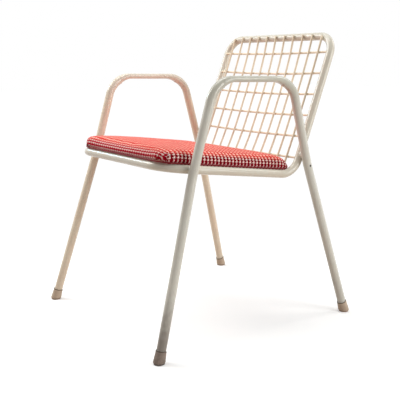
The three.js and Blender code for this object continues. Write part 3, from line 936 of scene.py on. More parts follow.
@dataclass
class SideFrame:
    """One bent tube that makes a front leg, an arm and a rear leg, pressed flat under the arm."""

    hand: Hand
    sides: int = 48
    cap_floor: float = 10
    pressed_roundness: float = 1.35
    pressed_lit_end_share: float = 0.25
    press_edge: float = 0.4

    def foot(self, end: End) -> Array:
        """Where a leg's centre line meets the floor."""
        return np.array([self.hand.value * SIZES.foot_spread, end.value * SIZES.foot_reach, 0.0])

    def arm_corner(self, end: End) -> Array:
        """The corner where a leg and the arm would meet."""
        front = end is End.FRONT
        reach = SIZES.arm_front_reach if front else SIZES.arm_rear_reach
        height = SIZES.arm_front_height if front else SIZES.arm_rear_height
        return np.array([self.hand.value * SIZES.leg_half_span, end.value * reach, height])

    def leg_point(self, end: End, height: float) -> Array:
        """A leg's centre at a height, in the upright plane of the upper frame."""
        foot, arm = self.foot(end), self.arm_corner(end)
        point = foot + (arm - foot) * height / arm[2]
        point[0] = self.hand.value * SIZES.leg_half_span
        return point

    def lean(self, end: End) -> Array:
        """Direction of a lower leg, upwards."""
        return unit(self.leg_point(end, SIZES.splay_height) - self.foot(end))

    def tube_end(self, end: End) -> Array:
        """Where the tube stops inside its cap."""
        return self.foot(end) + self.lean(end) * self.cap_floor

    def path(self) -> BentPath:
        """The tube's centre line from the front foot to the rear foot."""
        height = SIZES.splay_height
        corners = [self.tube_end(End.FRONT), self.leg_point(End.FRONT, height), self.arm_corner(End.FRONT),
                   self.arm_corner(End.REAR), self.leg_point(End.REAR, height), self.tube_end(End.REAR)]
        return BentPath(corners, [SIZES.splay_bend, SIZES.arm_bend, SIZES.arm_bend, SIZES.splay_bend])

    def press_at(self, distances: Array) -> Array:
        """How far the press has closed the tube at distances from the arm's middle."""
        return np.interp(np.abs(distances), SIZES.press_marks, [1.0, self.pressed_lit_end_share, 0.0])

    def sections(self, press: Array) -> Array:
        """The tube's section for each press value, round or flattened from below."""
        half, radius = SIZES.arm_thickness / 2, SIZES.leg_radius
        wide = half + math.pi / 2 * (radius - half)
        x, z = circle(1, self.sides).T
        flat_x, flat_z = (np.sign(v) * np.abs(v) ** (1 / self.pressed_roundness) for v in (x, z))
        press = press[:, None]
        across = radius * x * (1 - press) + wide * flat_x * press
        rise = radius * z * (1 - press) + (radius - half + half * flat_z) * press
        return np.stack([across, rise], axis=2)

    def mesh(self) -> Mesh:
        """The tube's mesh, with a ring at both sides of each edge of the press."""
        path = self.path()
        on_arm = path.points[:, 2] > SIZES.arm_rear_height - 1
        middle = float(np.mean(path.marks[on_arm][[0, -1]]))
        edges = np.concatenate([SIZES.press_marks, SIZES.press_marks + self.press_edge])
        marks = np.concatenate([path.marks, middle + edges, middle - edges])
        marks = np.unique(np.round(marks, 3))
        points = path.at(marks)
        rings = rings_along(points, tangents_of(points), ACROSS, self.sections(self.press_at(marks - middle)))
        return Skin(rings).mesh(f"side_tube_{self.hand.word}")

    def vent_spot(self) -> Array:
        """Where the drilled hole's axis meets the rear leg's outer face."""
        spot = self.leg_point(End.REAR, SIZES.vent_height)
        spot[0] += self.hand.value * SIZES.leg_radius
        return spot

    def vent_cutter(self) -> Object:
        """A small cylinder that drills the hole in the rear leg."""
        points = self.vent_spot() + np.outer([-SIZES.vent_depth, SIZES.vent_depth], ACROSS)
        rings = rings_along(points, tangents_of(points), np.array([0.0, 1.0, 0.0]),
                            circle(SIZES.vent_hole / 2, self.sides // 2))
        return add_object("vent_cutter", Skin(rings).mesh("vent_cutter"))

    def build(self, enamel: Material, steel: Material) -> Object:
        """Builds the tube, drills its hole and dresses it."""
        cutter, raw = self.vent_cutter(), add_object("raw_tube", self.mesh())
        cutter.data.materials.append(steel)
        raw.data.materials.append(enamel)
        set_all(raw.modifiers.new("drill", "BOOLEAN"), object=cutter, operation="DIFFERENCE",
                solver="EXACT", material_mode="TRANSFER")
        drilled = applied(raw, "side_tube_mesh")
        for spare in (raw, cutter):
            bpy.data.objects.remove(spare)
        piece = place(f"side_tube_{self.hand.word}", drilled, enamel, Slot.TUBE, Body.FRAME,
                      (f"side_frame_{self.hand.word}",))
        self._darken_hole(piece, steel)
        return piece

    def _darken_hole(self, piece: Object, steel: Material) -> None:
        """Gives the faces inside the drilled hole the bare steel."""
        slack, wider = 0.05, 1.02
        spot, reach = self.vent_spot(), SIZES.vent_hole / 2 * wider
        piece.data.materials.append(steel)
        for face in piece.data.polygons:
            x, y, z = np.array(face.center) / MM
            depth = abs(spot[0]) - abs(x)
            if math.hypot(y - spot[1], z - spot[2]) < reach and slack < depth < SIZES.vent_depth + 2 * slack:
                face.material_index = 1


@dataclass
class SeatLoop:
    """The one tube that makes the seat's front and sides, the back's sides and the top."""

    sides: int = 48

    def path(self) -> BentPath:
        """The loop on the unrolled profile, across and along."""
        wide, deep = SIZES.seat_half_width, LOOP_LINE.length
        flat = [(0, 0), (wide, 0), (wide, deep), (-wide, deep), (-wide, 0), (0, 0)]
        corners = [np.array([x, y, 0.0]) for x, y in flat]
        seat_bend, back_bend = SIZES.seat_corner_bend, SIZES.back_corner_bend
        return BentPath(corners, [seat_bend, back_bend, back_bend, seat_bend], run_step=4)

    def build(self, enamel: Material) -> Object:
        """Builds the loop and dresses it."""
        flat = self.path().points[:-1]
        points = np.array([LOOP_LINE.place(x, y, 0) for x, y, _ in flat])
        normals = np.array([LOOP_LINE.at(y)[2] for _, y, _ in flat])
        rings = rings_along(points, tangents_of(points, endless=True), normals,
                            circle(SIZES.loop_radius, self.sides))
        mesh = Skin(rings, endless=True).mesh("seat_loop")
        return place("seat_loop", mesh, enamel, Slot.TUBE, Body.FRAME, ("seat_back_frame",))


@dataclass
class WireGrid:
    """The long wires, the cross wires under them and the small spot welds where they cross."""

    sides: int = 16
    tip_rings: int = 4
    tip_softness: float = 0.45
    run_step: float = 14
    bend_step: float = 2.5
    cross_rings: int = 41
    spot_reach: float = 3.4
    spot_waist: float = 0.55
    spot_overlap: float = 0.3
    spot_sides: int = 10
    spot_rings: int = 5
    grid: Profile = field(default_factory=lambda: Profile(SIZES.long_bend + SIZES.long_height))

    def sag(self, across: float, distance: float) -> float:
        """Depth of the grid's sag at a place."""
        grid = self.grid

        def hollow(share: float) -> float:
            """One in the middle of a run and nothing at its ends."""
            return 1 - abs(2 * share - 1) ** SIZES.sag_power

        seat = SIZES.seat_sag * hollow(min(distance, grid.seat_run) / grid.seat_length)
        back = SIZES.back_sag * hollow((grid.length - max(distance, grid.back_start)) / grid.back_length)
        turned = (distance - grid.seat_run) / (SIZES.long_bend * grid.arc.turn)
        share = min(1.0, max(0.0, turned))
        return lerp(seat, back, share) * (1 - (across / SIZES.seat_half_width) ** 2)

    def spot(self, across: float, distance: float, height: float) -> Array:
        """A point of the sagging grid, at a height over the loop's centre line before the sag."""
        return self.grid.place(across, distance, height - self.sag(across, distance))

    @staticmethod
    def corner_loss(across: float, bend: float) -> float:
        """How far a round corner of the loop lies inside the straight end it joins."""
        into = max(0.0, abs(across) - (SIZES.seat_half_width - bend))
        return bend - math.sqrt(max(0.0, bend * bend - into * into))

    def rod(self, kind: str, number: int, points: Array, side: Array,
            enamel: Material, round_tips: bool = False) -> None:
        """Builds one wire along some points and dresses it.

        Args:
            kind: The word long or cross.
            number: The wire's number, from 1.
            points: Its centre line.
            side: A direction square to the wire everywhere.
            enamel: Its material.
            round_tips: True where its sheared ends are rounded over.
        """
        tangents, scale = tangents_of(points), np.ones(len(points))
        if round_tips:
            turn = np.linspace(0, math.pi / 2, self.tip_rings + 1)[1:]
            soft = SIZES.wire_radius * self.tip_softness
            reach = (np.sin(turn) * soft)[:, None]
            tip = 1 - (1 - np.cos(turn)) * soft / SIZES.wire_radius
            head, tail = points[0] - tangents[0] * reach, points[-1] + tangents[-1] * reach
            points = np.concatenate([head[::-1], points, tail])
            tangents = np.pad(tangents, ((len(turn), len(turn)), (0, 0)), "edge")
            scale = np.concatenate([tip[::-1], scale, tip])
        section = circle(SIZES.wire_radius, self.sides) * scale[:, None, None]
        name = f"{kind}_rod_{number}"
        mesh = Skin(rings_along(points, tangents, side, section)).mesh(name)
        place(name, mesh, enamel, Slot.WIRE, Body.FRAME, (f"{kind}_wire_{number}",))

    def long_marks(self, across: float) -> Array:
        """Distances along the grid at which a long wire has a ring."""
        edge = abs(across) + SIZES.wire_radius
        start = self.corner_loss(edge, SIZES.seat_corner_bend) + SIZES.wire_tip_inset
        end = self.grid.length - self.corner_loss(edge, SIZES.back_corner_bend)
        stops = [start, self.grid.seat_run, self.grid.back_start, end]
        marks = [np.linspace(low, high, math.ceil((high - low) / step) + 1)
                 for low, high, step in zip(stops, stops[1:], (self.run_step, self.bend_step, self.run_step))]
        return np.unique(np.round(np.concatenate(marks), 4))

    def cross_distances(self) -> list[float]:
        """Distances along the grid of the cross wires, from the top of the back down."""
        first = self.grid.length - SIZES.top_cross_drop
        return [first - i * SIZES.cross_pitch for i in range(SIZES.cross_count)]

    def build_long(self, enamel: Material) -> None:
        """Builds the long wires."""
        for i, across in enumerate(SIZES.long_places, 1):
            points = [self.spot(across, mark, SIZES.long_height) for mark in self.long_marks(across)]
            self.rod("long", i, np.array(points), ACROSS, enamel, round_tips=True)

    def build_cross(self, enamel: Material) -> None:
        """Builds the cross wires, which end inside the loop's tube."""
        reach = SIZES.seat_half_width - SIZES.loop_radius / 2
        for i, distance in enumerate(self.cross_distances(), 1):
            points = [self.spot(across, distance, SIZES.cross_height)
                      for across in np.linspace(-reach, reach, self.cross_rings)]
            self.rod("cross", i, np.array(points), self.grid.at(distance)[2], enamel)

    def build_spots(self, enamel: Material) -> Object:
        """Builds the flattened lumps of the spot welds, one at each crossing, as one piece."""
        lumps = [self._lump(across, distance)
                 for across in SIZES.long_places for distance in self.cross_distances()]
        mesh = joined("wire_spot_welds", lumps)
        return place("wire_spot_welds", mesh, enamel, Slot.WIRE, Body.FRAME, crease=NO_CREASE)

    def _lump(self, across: float, distance: float) -> Mesh:
        """One lump, which holds both wires and has a slight waist between them."""
        spare = SIZES.wire_radius * self.spot_overlap
        along = self.grid.at(distance)[1]
        rings = []
        for share in np.linspace(0, 1, self.spot_rings):
            height = lerp(SIZES.cross_height - spare, SIZES.long_height + spare, share)
            width = self.spot_reach * lerp(self.spot_waist, 1, abs(2 * share - 1))
            flat = circle(width, self.spot_sides)
            rings.append(self.spot(across, distance, height) + flat[:, :1] * ACROSS + flat[:, 1:] * along)
        return Skin(np.array(rings)).mesh("spot")


@dataclass
class LegPart:
    """A small part that belongs to one leg of a side frame."""

    frame: SideFrame
    end: End

    @property
    def word(self) -> str:
        """The words that names use for its leg."""
        return f"{self.end.word}_{self.frame.hand.word}"


@dataclass
class FootCap(LegPart):
    """A moulded cap on a tube end: a level sole ring under a flared cup with a soft, uneven lip."""

    sides: int = 56
    height: float = 30
    foot_width: float = 28
    lip_width: float = 24.8
    sole_width: float = 26
    sole_height: float = 4
    lip_wave: float = 0.8
    wave_turn: float = 0.7
    wave_humps: int = 2
    small_humps: int = 5
    small_share: float = 0.4
    bore_gap: float = 0.05

    def level_ring(self, radius: float, height: float) -> Array:
        """A level ring of the sole, under the place where the leg's axis crosses its top."""
        lean = self.frame.lean(self.end)
        centre = self.frame.foot(self.end) + np.array([lean[0], lean[1], 0]) / lean[2] * self.sole_height
        flat = circle(radius, self.sides)
        return np.stack([centre[0] + flat[:, 0], centre[1] + flat[:, 1], np.full(self.sides, height)], axis=1)

    def cup_ring(self, radius: float, along: float, level: float = 0, wave: float = 0) -> Array:
        """A ring of the cup, square to the leg, or level near the sole.

        Args:
            radius: The ring's radius.
            along: Distance up the leg's axis, or height over the floor where it is level.
            level: One for a level ring, nothing for a square one.
            wave: Height of the lip's unevenness.

        Returns:
            The ring's points.
        """
        lean = self.frame.lean(self.end)
        side = unit(np.cross([0.0, 1.0, 0.0], lean))
        front = np.cross(lean, side)
        flat = circle(radius, self.sides)
        spread = flat[:, :1] * side + flat[:, 1:] * front
        angles = angles_round(self.sides)
        humps = np.sin(self.wave_humps * angles + self.wave_turn)
        square = along + wave * (humps + self.small_share * np.sin(self.small_humps * angles))
        flatly = (along - spread[:, 2]) / lean[2]
        up = square * (1 - level) + flatly * level
        return self.frame.foot(self.end) + spread + up[:, None] * lean

    def build(self, plastic: Material, lip_shade: Material) -> Object:
        """Builds the cap and dresses it, with painted shade on its lip and in the gap between lip and tube.

        A row of the tread gives a ring's radius and height, and other rows give cup_ring's arguments.
        """
        edge, lip, sole = self.foot_width / 2, self.lip_width / 2, self.sole_width / 2
        bore, top = SIZES.leg_radius + self.bore_gap, self.height
        base, wave = self.sole_height, self.lip_wave
        tread = [(sole - 1.2, 0), (sole - 0.3, 0.35), (sole, 1.1), (sole, base - 0.9),
                 (sole - 0.5, base - 0.2)]
        flare = [(edge - 0.9, base, 1), (edge - 0.15, base + 0.7, 1), (edge, base + 2, 1),
                 (edge - 0.3, 10.5, 0.35)]
        wall = [(lerp(edge - 0.45, lip, share ** 0.8), lerp(13, top - 2, share))
                for share in (0.15, 0.4, 0.7)]
        rim = [(lip + 0.1, top - 1.6, 0, wave), (lip + 0.15, top - 0.6, 0, wave), (lip - 0.3, top, 0, wave),
               (bore + 0.75, top - 0.1, 0, wave), (bore + 0.55, top - 2.5), (bore, top - 3.5),
               (bore, top - 8)]
        rings = [self.level_ring(*row) for row in tread]
        rings += [self.cup_ring(*row) for row in flare + wall + rim]
        mesh = Skin(np.array(rings)).mesh(f"cap_{self.word}")
        cap = place(f"cap_{self.word}", mesh, plastic, Slot.CAP, Body.FRAME, (f"foot_cap_{self.word}",),
                    crease=55)
        # Painted shade: the lip and the gap into the bore get a dark material.
        cap.data.materials.append(lip_shade)
        first, last = ((len(rings) - back) * self.sides for back in (len(rim), 1))
        for i, face in enumerate(cap.data.polygons):
            face.material_index = int(first <= i < last)
        return cap


@dataclass
class WeldBead(LegPart):
    """A rippled fillet round the spot where the loop's tube crosses a leg."""

    steps: int = 72
    inner: float = 4
    outer: float = 8.6
    bulge: float = 1.5
    shoulder: float = 0.75
    sink: float = 0.08
    ripple: float = 0.16
    ripples: int = 17

    @property
    def rail(self) -> Array:
        """Direction of the loop's tube where it crosses the leg."""
        return LOOP_LINE.seat_along if self.end is End.FRONT else LOOP_LINE.back_along

    def crossing(self) -> Array:
        """Where the leg crosses the loop, seen from the side."""
        foot, along = self.frame.foot(self.end), self.rail
        leg = self.frame.arm_corner(self.end) - foot
        offset = LOOP_LINE.corner - foot
        share = (offset[1] * along[2] - offset[2] * along[1]) / (leg[1] * along[2] - leg[2] * along[1])
        spot = foot + leg * share
        spot[0] = self.frame.hand.value * (SIZES.seat_half_width + SIZES.loop_radius)
        return spot

    def build(self, enamel: Material) -> Object:
        """Builds the bead and dresses it."""
        leg = unit((self.frame.arm_corner(self.end) - self.frame.foot(self.end)) * np.array([0, 1, 1]))
        rings = []
        for turn in angles_round(self.steps):
            out = np.array([0, math.cos(turn), math.sin(turn)])
            wave = self.ripple * math.sin(self.ripples * turn)
            crest = self.outer + self.bulge + wave
            side = self.outer + self.bulge * self.shoulder + wave
            section = ((self.inner, 0.0), (self.outer, -self.sink), (side, 0.25), (crest, 0.5),
                       (side, 0.75), (self.outer, 1 + self.sink), (self.inner, 1.0))
            rings.append([self._bead_point(out, leg, radius, share) for radius, share in section])
        mesh = Skin(np.array(rings), endless=True).mesh("weld_bead")
        return place(f"bead_{self.word}", mesh, enamel, Slot.TUBE, Body.FRAME, (f"weld_{self.word}",))

    def _bead_point(self, out: Array, leg: Array, radius: float, share: float) -> Array:
        """A point of the bead at a radius round the crossing, a share of the way from rail to leg."""
        def sunk(tube: float, along: Array) -> float:
            """How far a tube's round face lies behind its nearest line at the point."""
            aside = np.linalg.norm(np.cross(out * radius, along))
            return tube - math.sqrt(max(0.0, tube ** 2 - aside ** 2))

        point = self.crossing() + out * radius
        rail_side = -sunk(SIZES.loop_radius, self.rail)
        leg_side = SIZES.gap + sunk(SIZES.leg_radius, leg)
        point[0] += self.frame.hand.value * lerp(rail_side, leg_side, share)
        return point


@dataclass
class Cushion:
    """The loose seat cushion: a crowned, stuffed pad that is drawn in at its sides.

    Places are given across the chair, along the seat from its front tube, and above the tubes' centres.
    The top rings are insets from the outline with drops from the top, and the lower rings are insets
    with heights.
    """

    half_width: float = 214
    front: float = -7
    heel: float = 391
    near_corner: float = 42
    far_corner: float = 66
    rear_corner: float = 40
    least_front_corner: float = 20
    least_rear_corner: float = 14
    corner_tightening: float = 0.6
    edge_height: float = 37
    corner_drop: float = 9
    crown: float = 9
    crown_power: float = 2.5
    draw_in: float = 3
    rim: float = 12
    rear_slope: float = 0.75
    top_rings: tuple = ((170, 0), (110, 0), (60, 0), (26, 0), (13, 0.8), (7, 2.5), (3, 6), (1, 10))
    low_rings: tuple = ((0, 18), (1, 12), (3, 9), (9, 5), (20, 2), (60, 2), (110, 2), (170, 2))
    voxel: float = 5
    cloth_stiffness: float = 18
    cloth_bending: float = 1.2
    swell_pressure: float = 4
    swell_frames: int = 20
    swell_cap: float = 8
    quilt: float = 2.2
    clear: float = 0.6
    tuck_depth: float = 2.6
    tuck_width: float = 3.4
    fold_offset: float = 8
    fold_width: float = 5
    tuck_drop: float = 3
    tuck_start: float = 0.6
    welt_radius: float = 1.8
    welt_inset: float = 1.5
    welt_lift: float = 0.4
    welt_steps: int = 420
    welt_sides: int = 10
    welt_smoothing: int = 6
    quarter_steps: int = 13

    def __post_init__(self) -> None:
        """Sets up what the cushion rests on."""
        self.wires = WireGrid()
        self.plane = SeatPlane()
        self.grid_edge = SIZES.long_places[-1] + SIZES.wire_radius + self.clear

    def off_supports(self, points: Array, spare: float = 0) -> Array:
        """Points moved off the wires and tubes that carry the cushion.

        Args:
            points: Points of the chair in millimetres.
            spare: Extra distance to keep.

        Returns:
            The points, moved square to the seat, the bend or the back where they were too low.
        """
        distance, above, normal = self.wires.grid.locate(points)
        sag = np.array([self.wires.sag(x, d) for x, d in zip(points[:, 0], distance)])
        between = self.quilt * np.sin(math.pi * points[:, 0] / SIZES.long_pitch) ** 2
        lowest = SIZES.long_height + SIZES.wire_radius + self.clear + spare - sag - between
        on_wires = (np.abs(points[:, 0]) < self.grid_edge) & (distance > SIZES.wire_tip_inset)
        points = points + normal * np.where(on_wires, np.maximum(0, lowest - above), 0)[:, None]
        reach = SIZES.loop_radius + self.clear + spare
        distance, above, normal = LOOP_LINE.locate(points)
        from_side = np.abs(np.abs(points[:, 0]) - SIZES.seat_half_width)
        lowest = np.sqrt(np.maximum(0, reach ** 2 - from_side ** 2))
        on_side = (from_side < reach) & (distance > 0)
        points = points + normal * np.where(on_side, np.maximum(0, lowest - above), 0)[:, None]
        seat = self.plane.from_chair(points)
        front = np.sqrt(np.maximum(0, reach ** 2 - seat[:, 1] ** 2))
        on_front = (np.abs(seat[:, 1]) < reach) & (np.abs(seat[:, 0]) < SIZES.seat_half_width)
        seat[:, 2] = np.where(on_front, np.maximum(seat[:, 2], front), seat[:, 2])
        return self.plane.to_chair(seat)

    def from_middle(self, along: Array) -> Array:
        """Places along the cushion as shares of the way from its middle to its ends, with a sign."""
        return 2 * (along - self.front) / (self.heel - self.front) - 1

    def outline(self, inset: float, height: float) -> Array:
        """Places across and along round the cushion, at a height, drawn in by an inset."""
        wide, front = self.half_width - inset, self.front + inset
        rear = self.heel - inset - self.rear_slope * max(0.0, height - self.rim)
        rear_bend = max(self.least_rear_corner, self.rear_corner - inset)
        far_bend, near_bend = (max(self.least_front_corner, bend - inset * self.corner_tightening)
                               for bend in (self.far_corner, self.near_corner))
        corners = ((wide, rear, rear_bend), (-wide, rear, rear_bend), (-wide, front, far_bend),
                   (wide, front, near_bend))
        places = []
        for quarter, (x, s, bend) in enumerate(corners):
            centre = np.array([x - math.copysign(bend, x), s - bend if quarter < 2 else s + bend])
            angles = (quarter + np.linspace(0, 1, self.quarter_steps)) * math.pi / 2
            places.append(centre + bend * np.stack([np.cos(angles), np.sin(angles)], axis=1))
        ring = np.concatenate(places)
        middle = 1 - self.from_middle(ring[:, 1]) ** 2
        ring[:, 0] -= np.sign(ring[:, 0]) * self.draw_in * np.clip(middle, 0, 1)
        return ring

    def top_at(self, ring: Array) -> Array:
        """Height of the top at places on the cushion."""
        x = np.clip(np.abs(ring[:, 0]) / self.half_width, 0, 1)
        s = np.clip(np.abs(self.from_middle(ring[:, 1])), 0, 1)
        crown = self.crown * (1 - x ** self.crown_power) * (1 - s ** self.crown_power)
        return self.edge_height + crown - self.corner_drop * (x * s) ** 3

    def start_mesh(self) -> Mesh:
        """The pad before it is stuffed."""
        rings = []
        for inset, drop in self.top_rings:
            ring = self.outline(inset, self.edge_height - drop)
            rings.append(np.column_stack([ring, self.top_at(ring) - drop]))
        for inset, height in self.low_rings:
            ring = self.outline(inset, height)
            rings.append(np.column_stack([ring, np.full(len(ring), float(height))]))
        points = self.plane.to_chair(np.array(rings).reshape(-1, 3))
        return Skin(self.off_supports(points, spare=1).reshape(len(rings), -1, 3)).mesh("cushion_start")

    def stuffed(self, start: Object) -> None:
        """Swells the pad by a short cloth simulation and applies the result to its mesh."""
        rest = self._positions(start.data)
        cloth = start.modifiers.new("stuffing", "CLOTH")
        set_all(cloth.settings, quality=5, tension_stiffness=self.cloth_stiffness,
                compression_stiffness=self.cloth_stiffness, bending_stiffness=self.cloth_bending,
                use_pressure=True, uniform_pressure_force=self.swell_pressure)
        cloth.settings.effector_weights.gravity = 0
        set_all(cloth.point_cache, frame_start=1, frame_end=self.swell_frames)
        scene = bpy.context.scene
        for frame_number in range(1, self.swell_frames + 1):
            scene.frame_set(frame_number)
        swollen = applied(start, "cushion_swollen")
        shift = self._positions(swollen) - rest
        start.modifiers.clear()
        scene.frame_set(1)
        length = np.linalg.norm(shift, axis=1, keepdims=True)
        shift *= np.minimum(1, self.swell_cap / np.maximum(length, TINY))
        LOG.info("cushion: stuffing moved the cloth by %.1f mm at most", float(length.max()))
        self._set_positions(start.data, rest + shift)
        bpy.data.meshes.remove(swollen)

    def fitted(self, points: Array) -> Array:
        """Points scaled along the seat's axes so that the pad has its width and depth again."""
        seat = self.plane.from_chair(points)
        seat[:, 0] *= (self.half_width - self.draw_in / 2) / np.abs(seat[:, 0]).max()
        low, high = seat[:, 1].min(), seat[:, 1].max()
        seat[:, 1] = self.front + (seat[:, 1] - low) * (self.heel - self.front) / (high - low)
        return self.plane.to_chair(seat)

    def tucked(self, points: Array) -> Array:
        """Points with a tuck pressed into each front corner and the cloth's fold standing beside it."""
        seat = self.plane.from_chair(points)
        for hand in Hand:
            bend = self.near_corner if hand is Hand.LEFT else self.far_corner
            out = seat[:, :2] - np.array([hand.value * (self.half_width - bend), self.front + bend])
            radius = np.linalg.norm(out, axis=1)
            diagonal = np.array([hand.value, -1.0]) / math.sqrt(2)
            aside = out @ np.array([-diagonal[1], diagonal[0]])
            low = seat[:, 2] < self.edge_height - self.tuck_drop
            side = low & (out @ diagonal > bend * self.tuck_start)
            beside = aside - hand.value * self.fold_offset
            depth = self.tuck_depth * np.exp(-(aside / self.tuck_width) ** 2)
            depth -= self.tuck_depth / 2 * np.exp(-(beside / self.fold_width) ** 2)
            step = np.where(side, depth, 0) / np.maximum(radius, 1)
            seat[:, :2] -= out * step[:, None]
        return self.plane.to_chair(seat)

    def build_welt(self, cloth: Material) -> Object:
        """Builds the sewn welt that runs round the pad's lower edge."""
        ring = self.outline(self.welt_inset, self.rim)
        closed = np.concatenate([ring, ring[:1]])
        marks = np.concatenate([[0], np.cumsum(np.linalg.norm(np.diff(closed, axis=0), axis=1))])
        even = np.linspace(0, marks[-1], self.welt_steps, endpoint=False)
        path = np.stack([np.interp(even, marks, closed[:, i]) for i in range(2)], axis=1)
        places = np.column_stack([path, np.full(len(path), self.rim + self.welt_radius * self.welt_lift)])
        points = self.off_supports(self.plane.to_chair(places), spare=self.welt_radius)
        for _ in range(self.welt_smoothing):
            points = (np.roll(points, 1, axis=0) + 2 * points + np.roll(points, -1, axis=0)) / 4
        points = self.off_supports(points, spare=self.welt_radius)
        rings = rings_along(points, tangents_of(points, endless=True), self.plane.normal,
                            circle(self.welt_radius, self.welt_sides))
        mesh = Skin(rings, endless=True).mesh("pad_welt")
        return place("pad_welt", mesh, cloth, Slot.CUSHION, Body.CUSHION, crease=NO_CREASE)

    @staticmethod
    def _positions(mesh: Mesh) -> Array:
        """A mesh's points in millimetres."""
        flat = np.empty(len(mesh.vertices) * 3)
        mesh.vertices.foreach_get("co", flat)
        return flat.reshape(-1, 3) / MM

    @staticmethod
    def _set_positions(mesh: Mesh, points: Array) -> None:
        """Puts points in millimetres back into a mesh."""
        mesh.vertices.foreach_set("co", (points * MM).ravel())
        mesh.update()

    def build(self, cloth: Material) -> Object:
        """Builds the pad, stuffs it, settles it on the grid and dresses it."""
        pad = add_object("cushion_pad", self.start_mesh())
        set_all(pad.modifiers.new("even", "REMESH"), mode="VOXEL", voxel_size=self.voxel * MM)
        pad.data = applied(pad, "cushion_even")
        pad.modifiers.clear()
        self.stuffed(pad)
        set_all(pad.modifiers.new("fine", "SUBSURF"), levels=1, render_levels=1)
        mesh = applied(pad, "seat_pad")
        bpy.data.objects.remove(pad)
        points = self.off_supports(self.tucked(self.fitted(self._positions(mesh))))
        self._set_positions(mesh, points)
        piece = place("seat_pad", mesh, cloth, Slot.CUSHION, Body.CUSHION, ("seat_cushion",), crease=80)
        low, high = points.min(axis=0), points.max(axis=0)
        LOG.info("cushion: from %s to %s mm", np.round(low, 1).tolist(), np.round(high, 1).tolist())
        return piece


@dataclass(frozen=True)
class PaleFloor(Finish):
    """The floor's finish, which keeps the chair's shadow near it and is plain white further out.

    Its tones and its bounce, the colour that it sends up to the chair, are linear.
    """

    name: str = "pale_floor"
    dark_tone: Linear = (0.9, 0.9, 0.9, 1)
    light_tone: Linear = (0.94, 0.94, 0.94, 1)
    bounce: Linear = (0.7, 0.57, 0.49, 1)
    glow: float = 0.3
    shadow_reach: float = 0.4
    white_reach: float = 1.1

    def shade(self, net: MaterialNet) -> Inputs:
        """Adds the finish's nodes and gives the shader's inputs."""
        seen = net.seen()
        tone = net.mix(net.grain(scale=3, detail=4), self.dark_tone, self.light_tone)
        far = net.ramp(net.vector("LENGTH", net.spot)["Value"], self.shadow_reach, self.white_reach)
        level = net.math("MULTIPLY", net.math("MULTIPLY_ADD", far, 1 - self.glow, self.glow), seen)
        light = net.add("ShaderNodeCombineColor", dict.fromkeys(("Red", "Green", "Blue"), level))["Color"]
        return {"Base Color": net.mix(seen, self.bounce, net.mix(far, tone, BLACK)),
                "Emission Color": light, "Emission Strength": 1.0, "Roughness": 0.9,
                "Specular IOR Level": 0.1}


def aim(item: Object, position: Vector, ahead: Vector) -> None:
    """Puts a lamp or a camera at a position, looking ahead."""
    turn = ahead.to_track_quat("-Z", "Y").to_matrix().to_4x4()
    item.matrix_world = Matrix.Translation(position) @ turn


@dataclass(frozen=True)
class Panel:
    """A soft lamp that looks at the seat.

    Args:
        name: The panel's name.
        position: Its place in metres.
        size: Its width and height in metres.
        power: Its power in watts.
        colour: Its light's colour.
        target: The place that it looks at, in metres.
    """

    name: str
    position: tuple[float, float, float]
    size: tuple[float, float]
    power: float
    colour: Colour
    target: tuple[float, float, float] = (0, 0, 0.45)

    def build(self) -> None:
        """Hangs the panel."""
        data = bpy.data.lights.new(self.name, "AREA")
        set_all(data, shape="RECTANGLE", size=self.size[0], size_y=self.size[1], energy=self.power,
                color=self.colour)
        aim(add_object(self.name, data), Vector(self.position), Vector(self.target) - Vector(self.position))


PANELS = (Panel("key_panel", (2.3, 1.15, 1.1), (1.1, 1.4), 31, (0.98, 1.0, 0.98)),
          Panel("rear_panel", (0.7, 1.9, 1.9), (1.0, 0.8), 12, (1.0, 0.99, 0.96)),
          Panel("overhead_panel", (-0.3, -0.1, 2.2), (0.9, 0.9), 14, (1.0, 0.98, 0.93)),
          Panel("front_panel", (-1.15, -0.9, 1.6), (0.9, 0.9), 20, (1.0, 0.99, 0.94)),
          Panel("window_strip", (-2.2, -0.68, 1.5), (0.4, 0.4), 6, (0.42, 0.74, 1.0)))


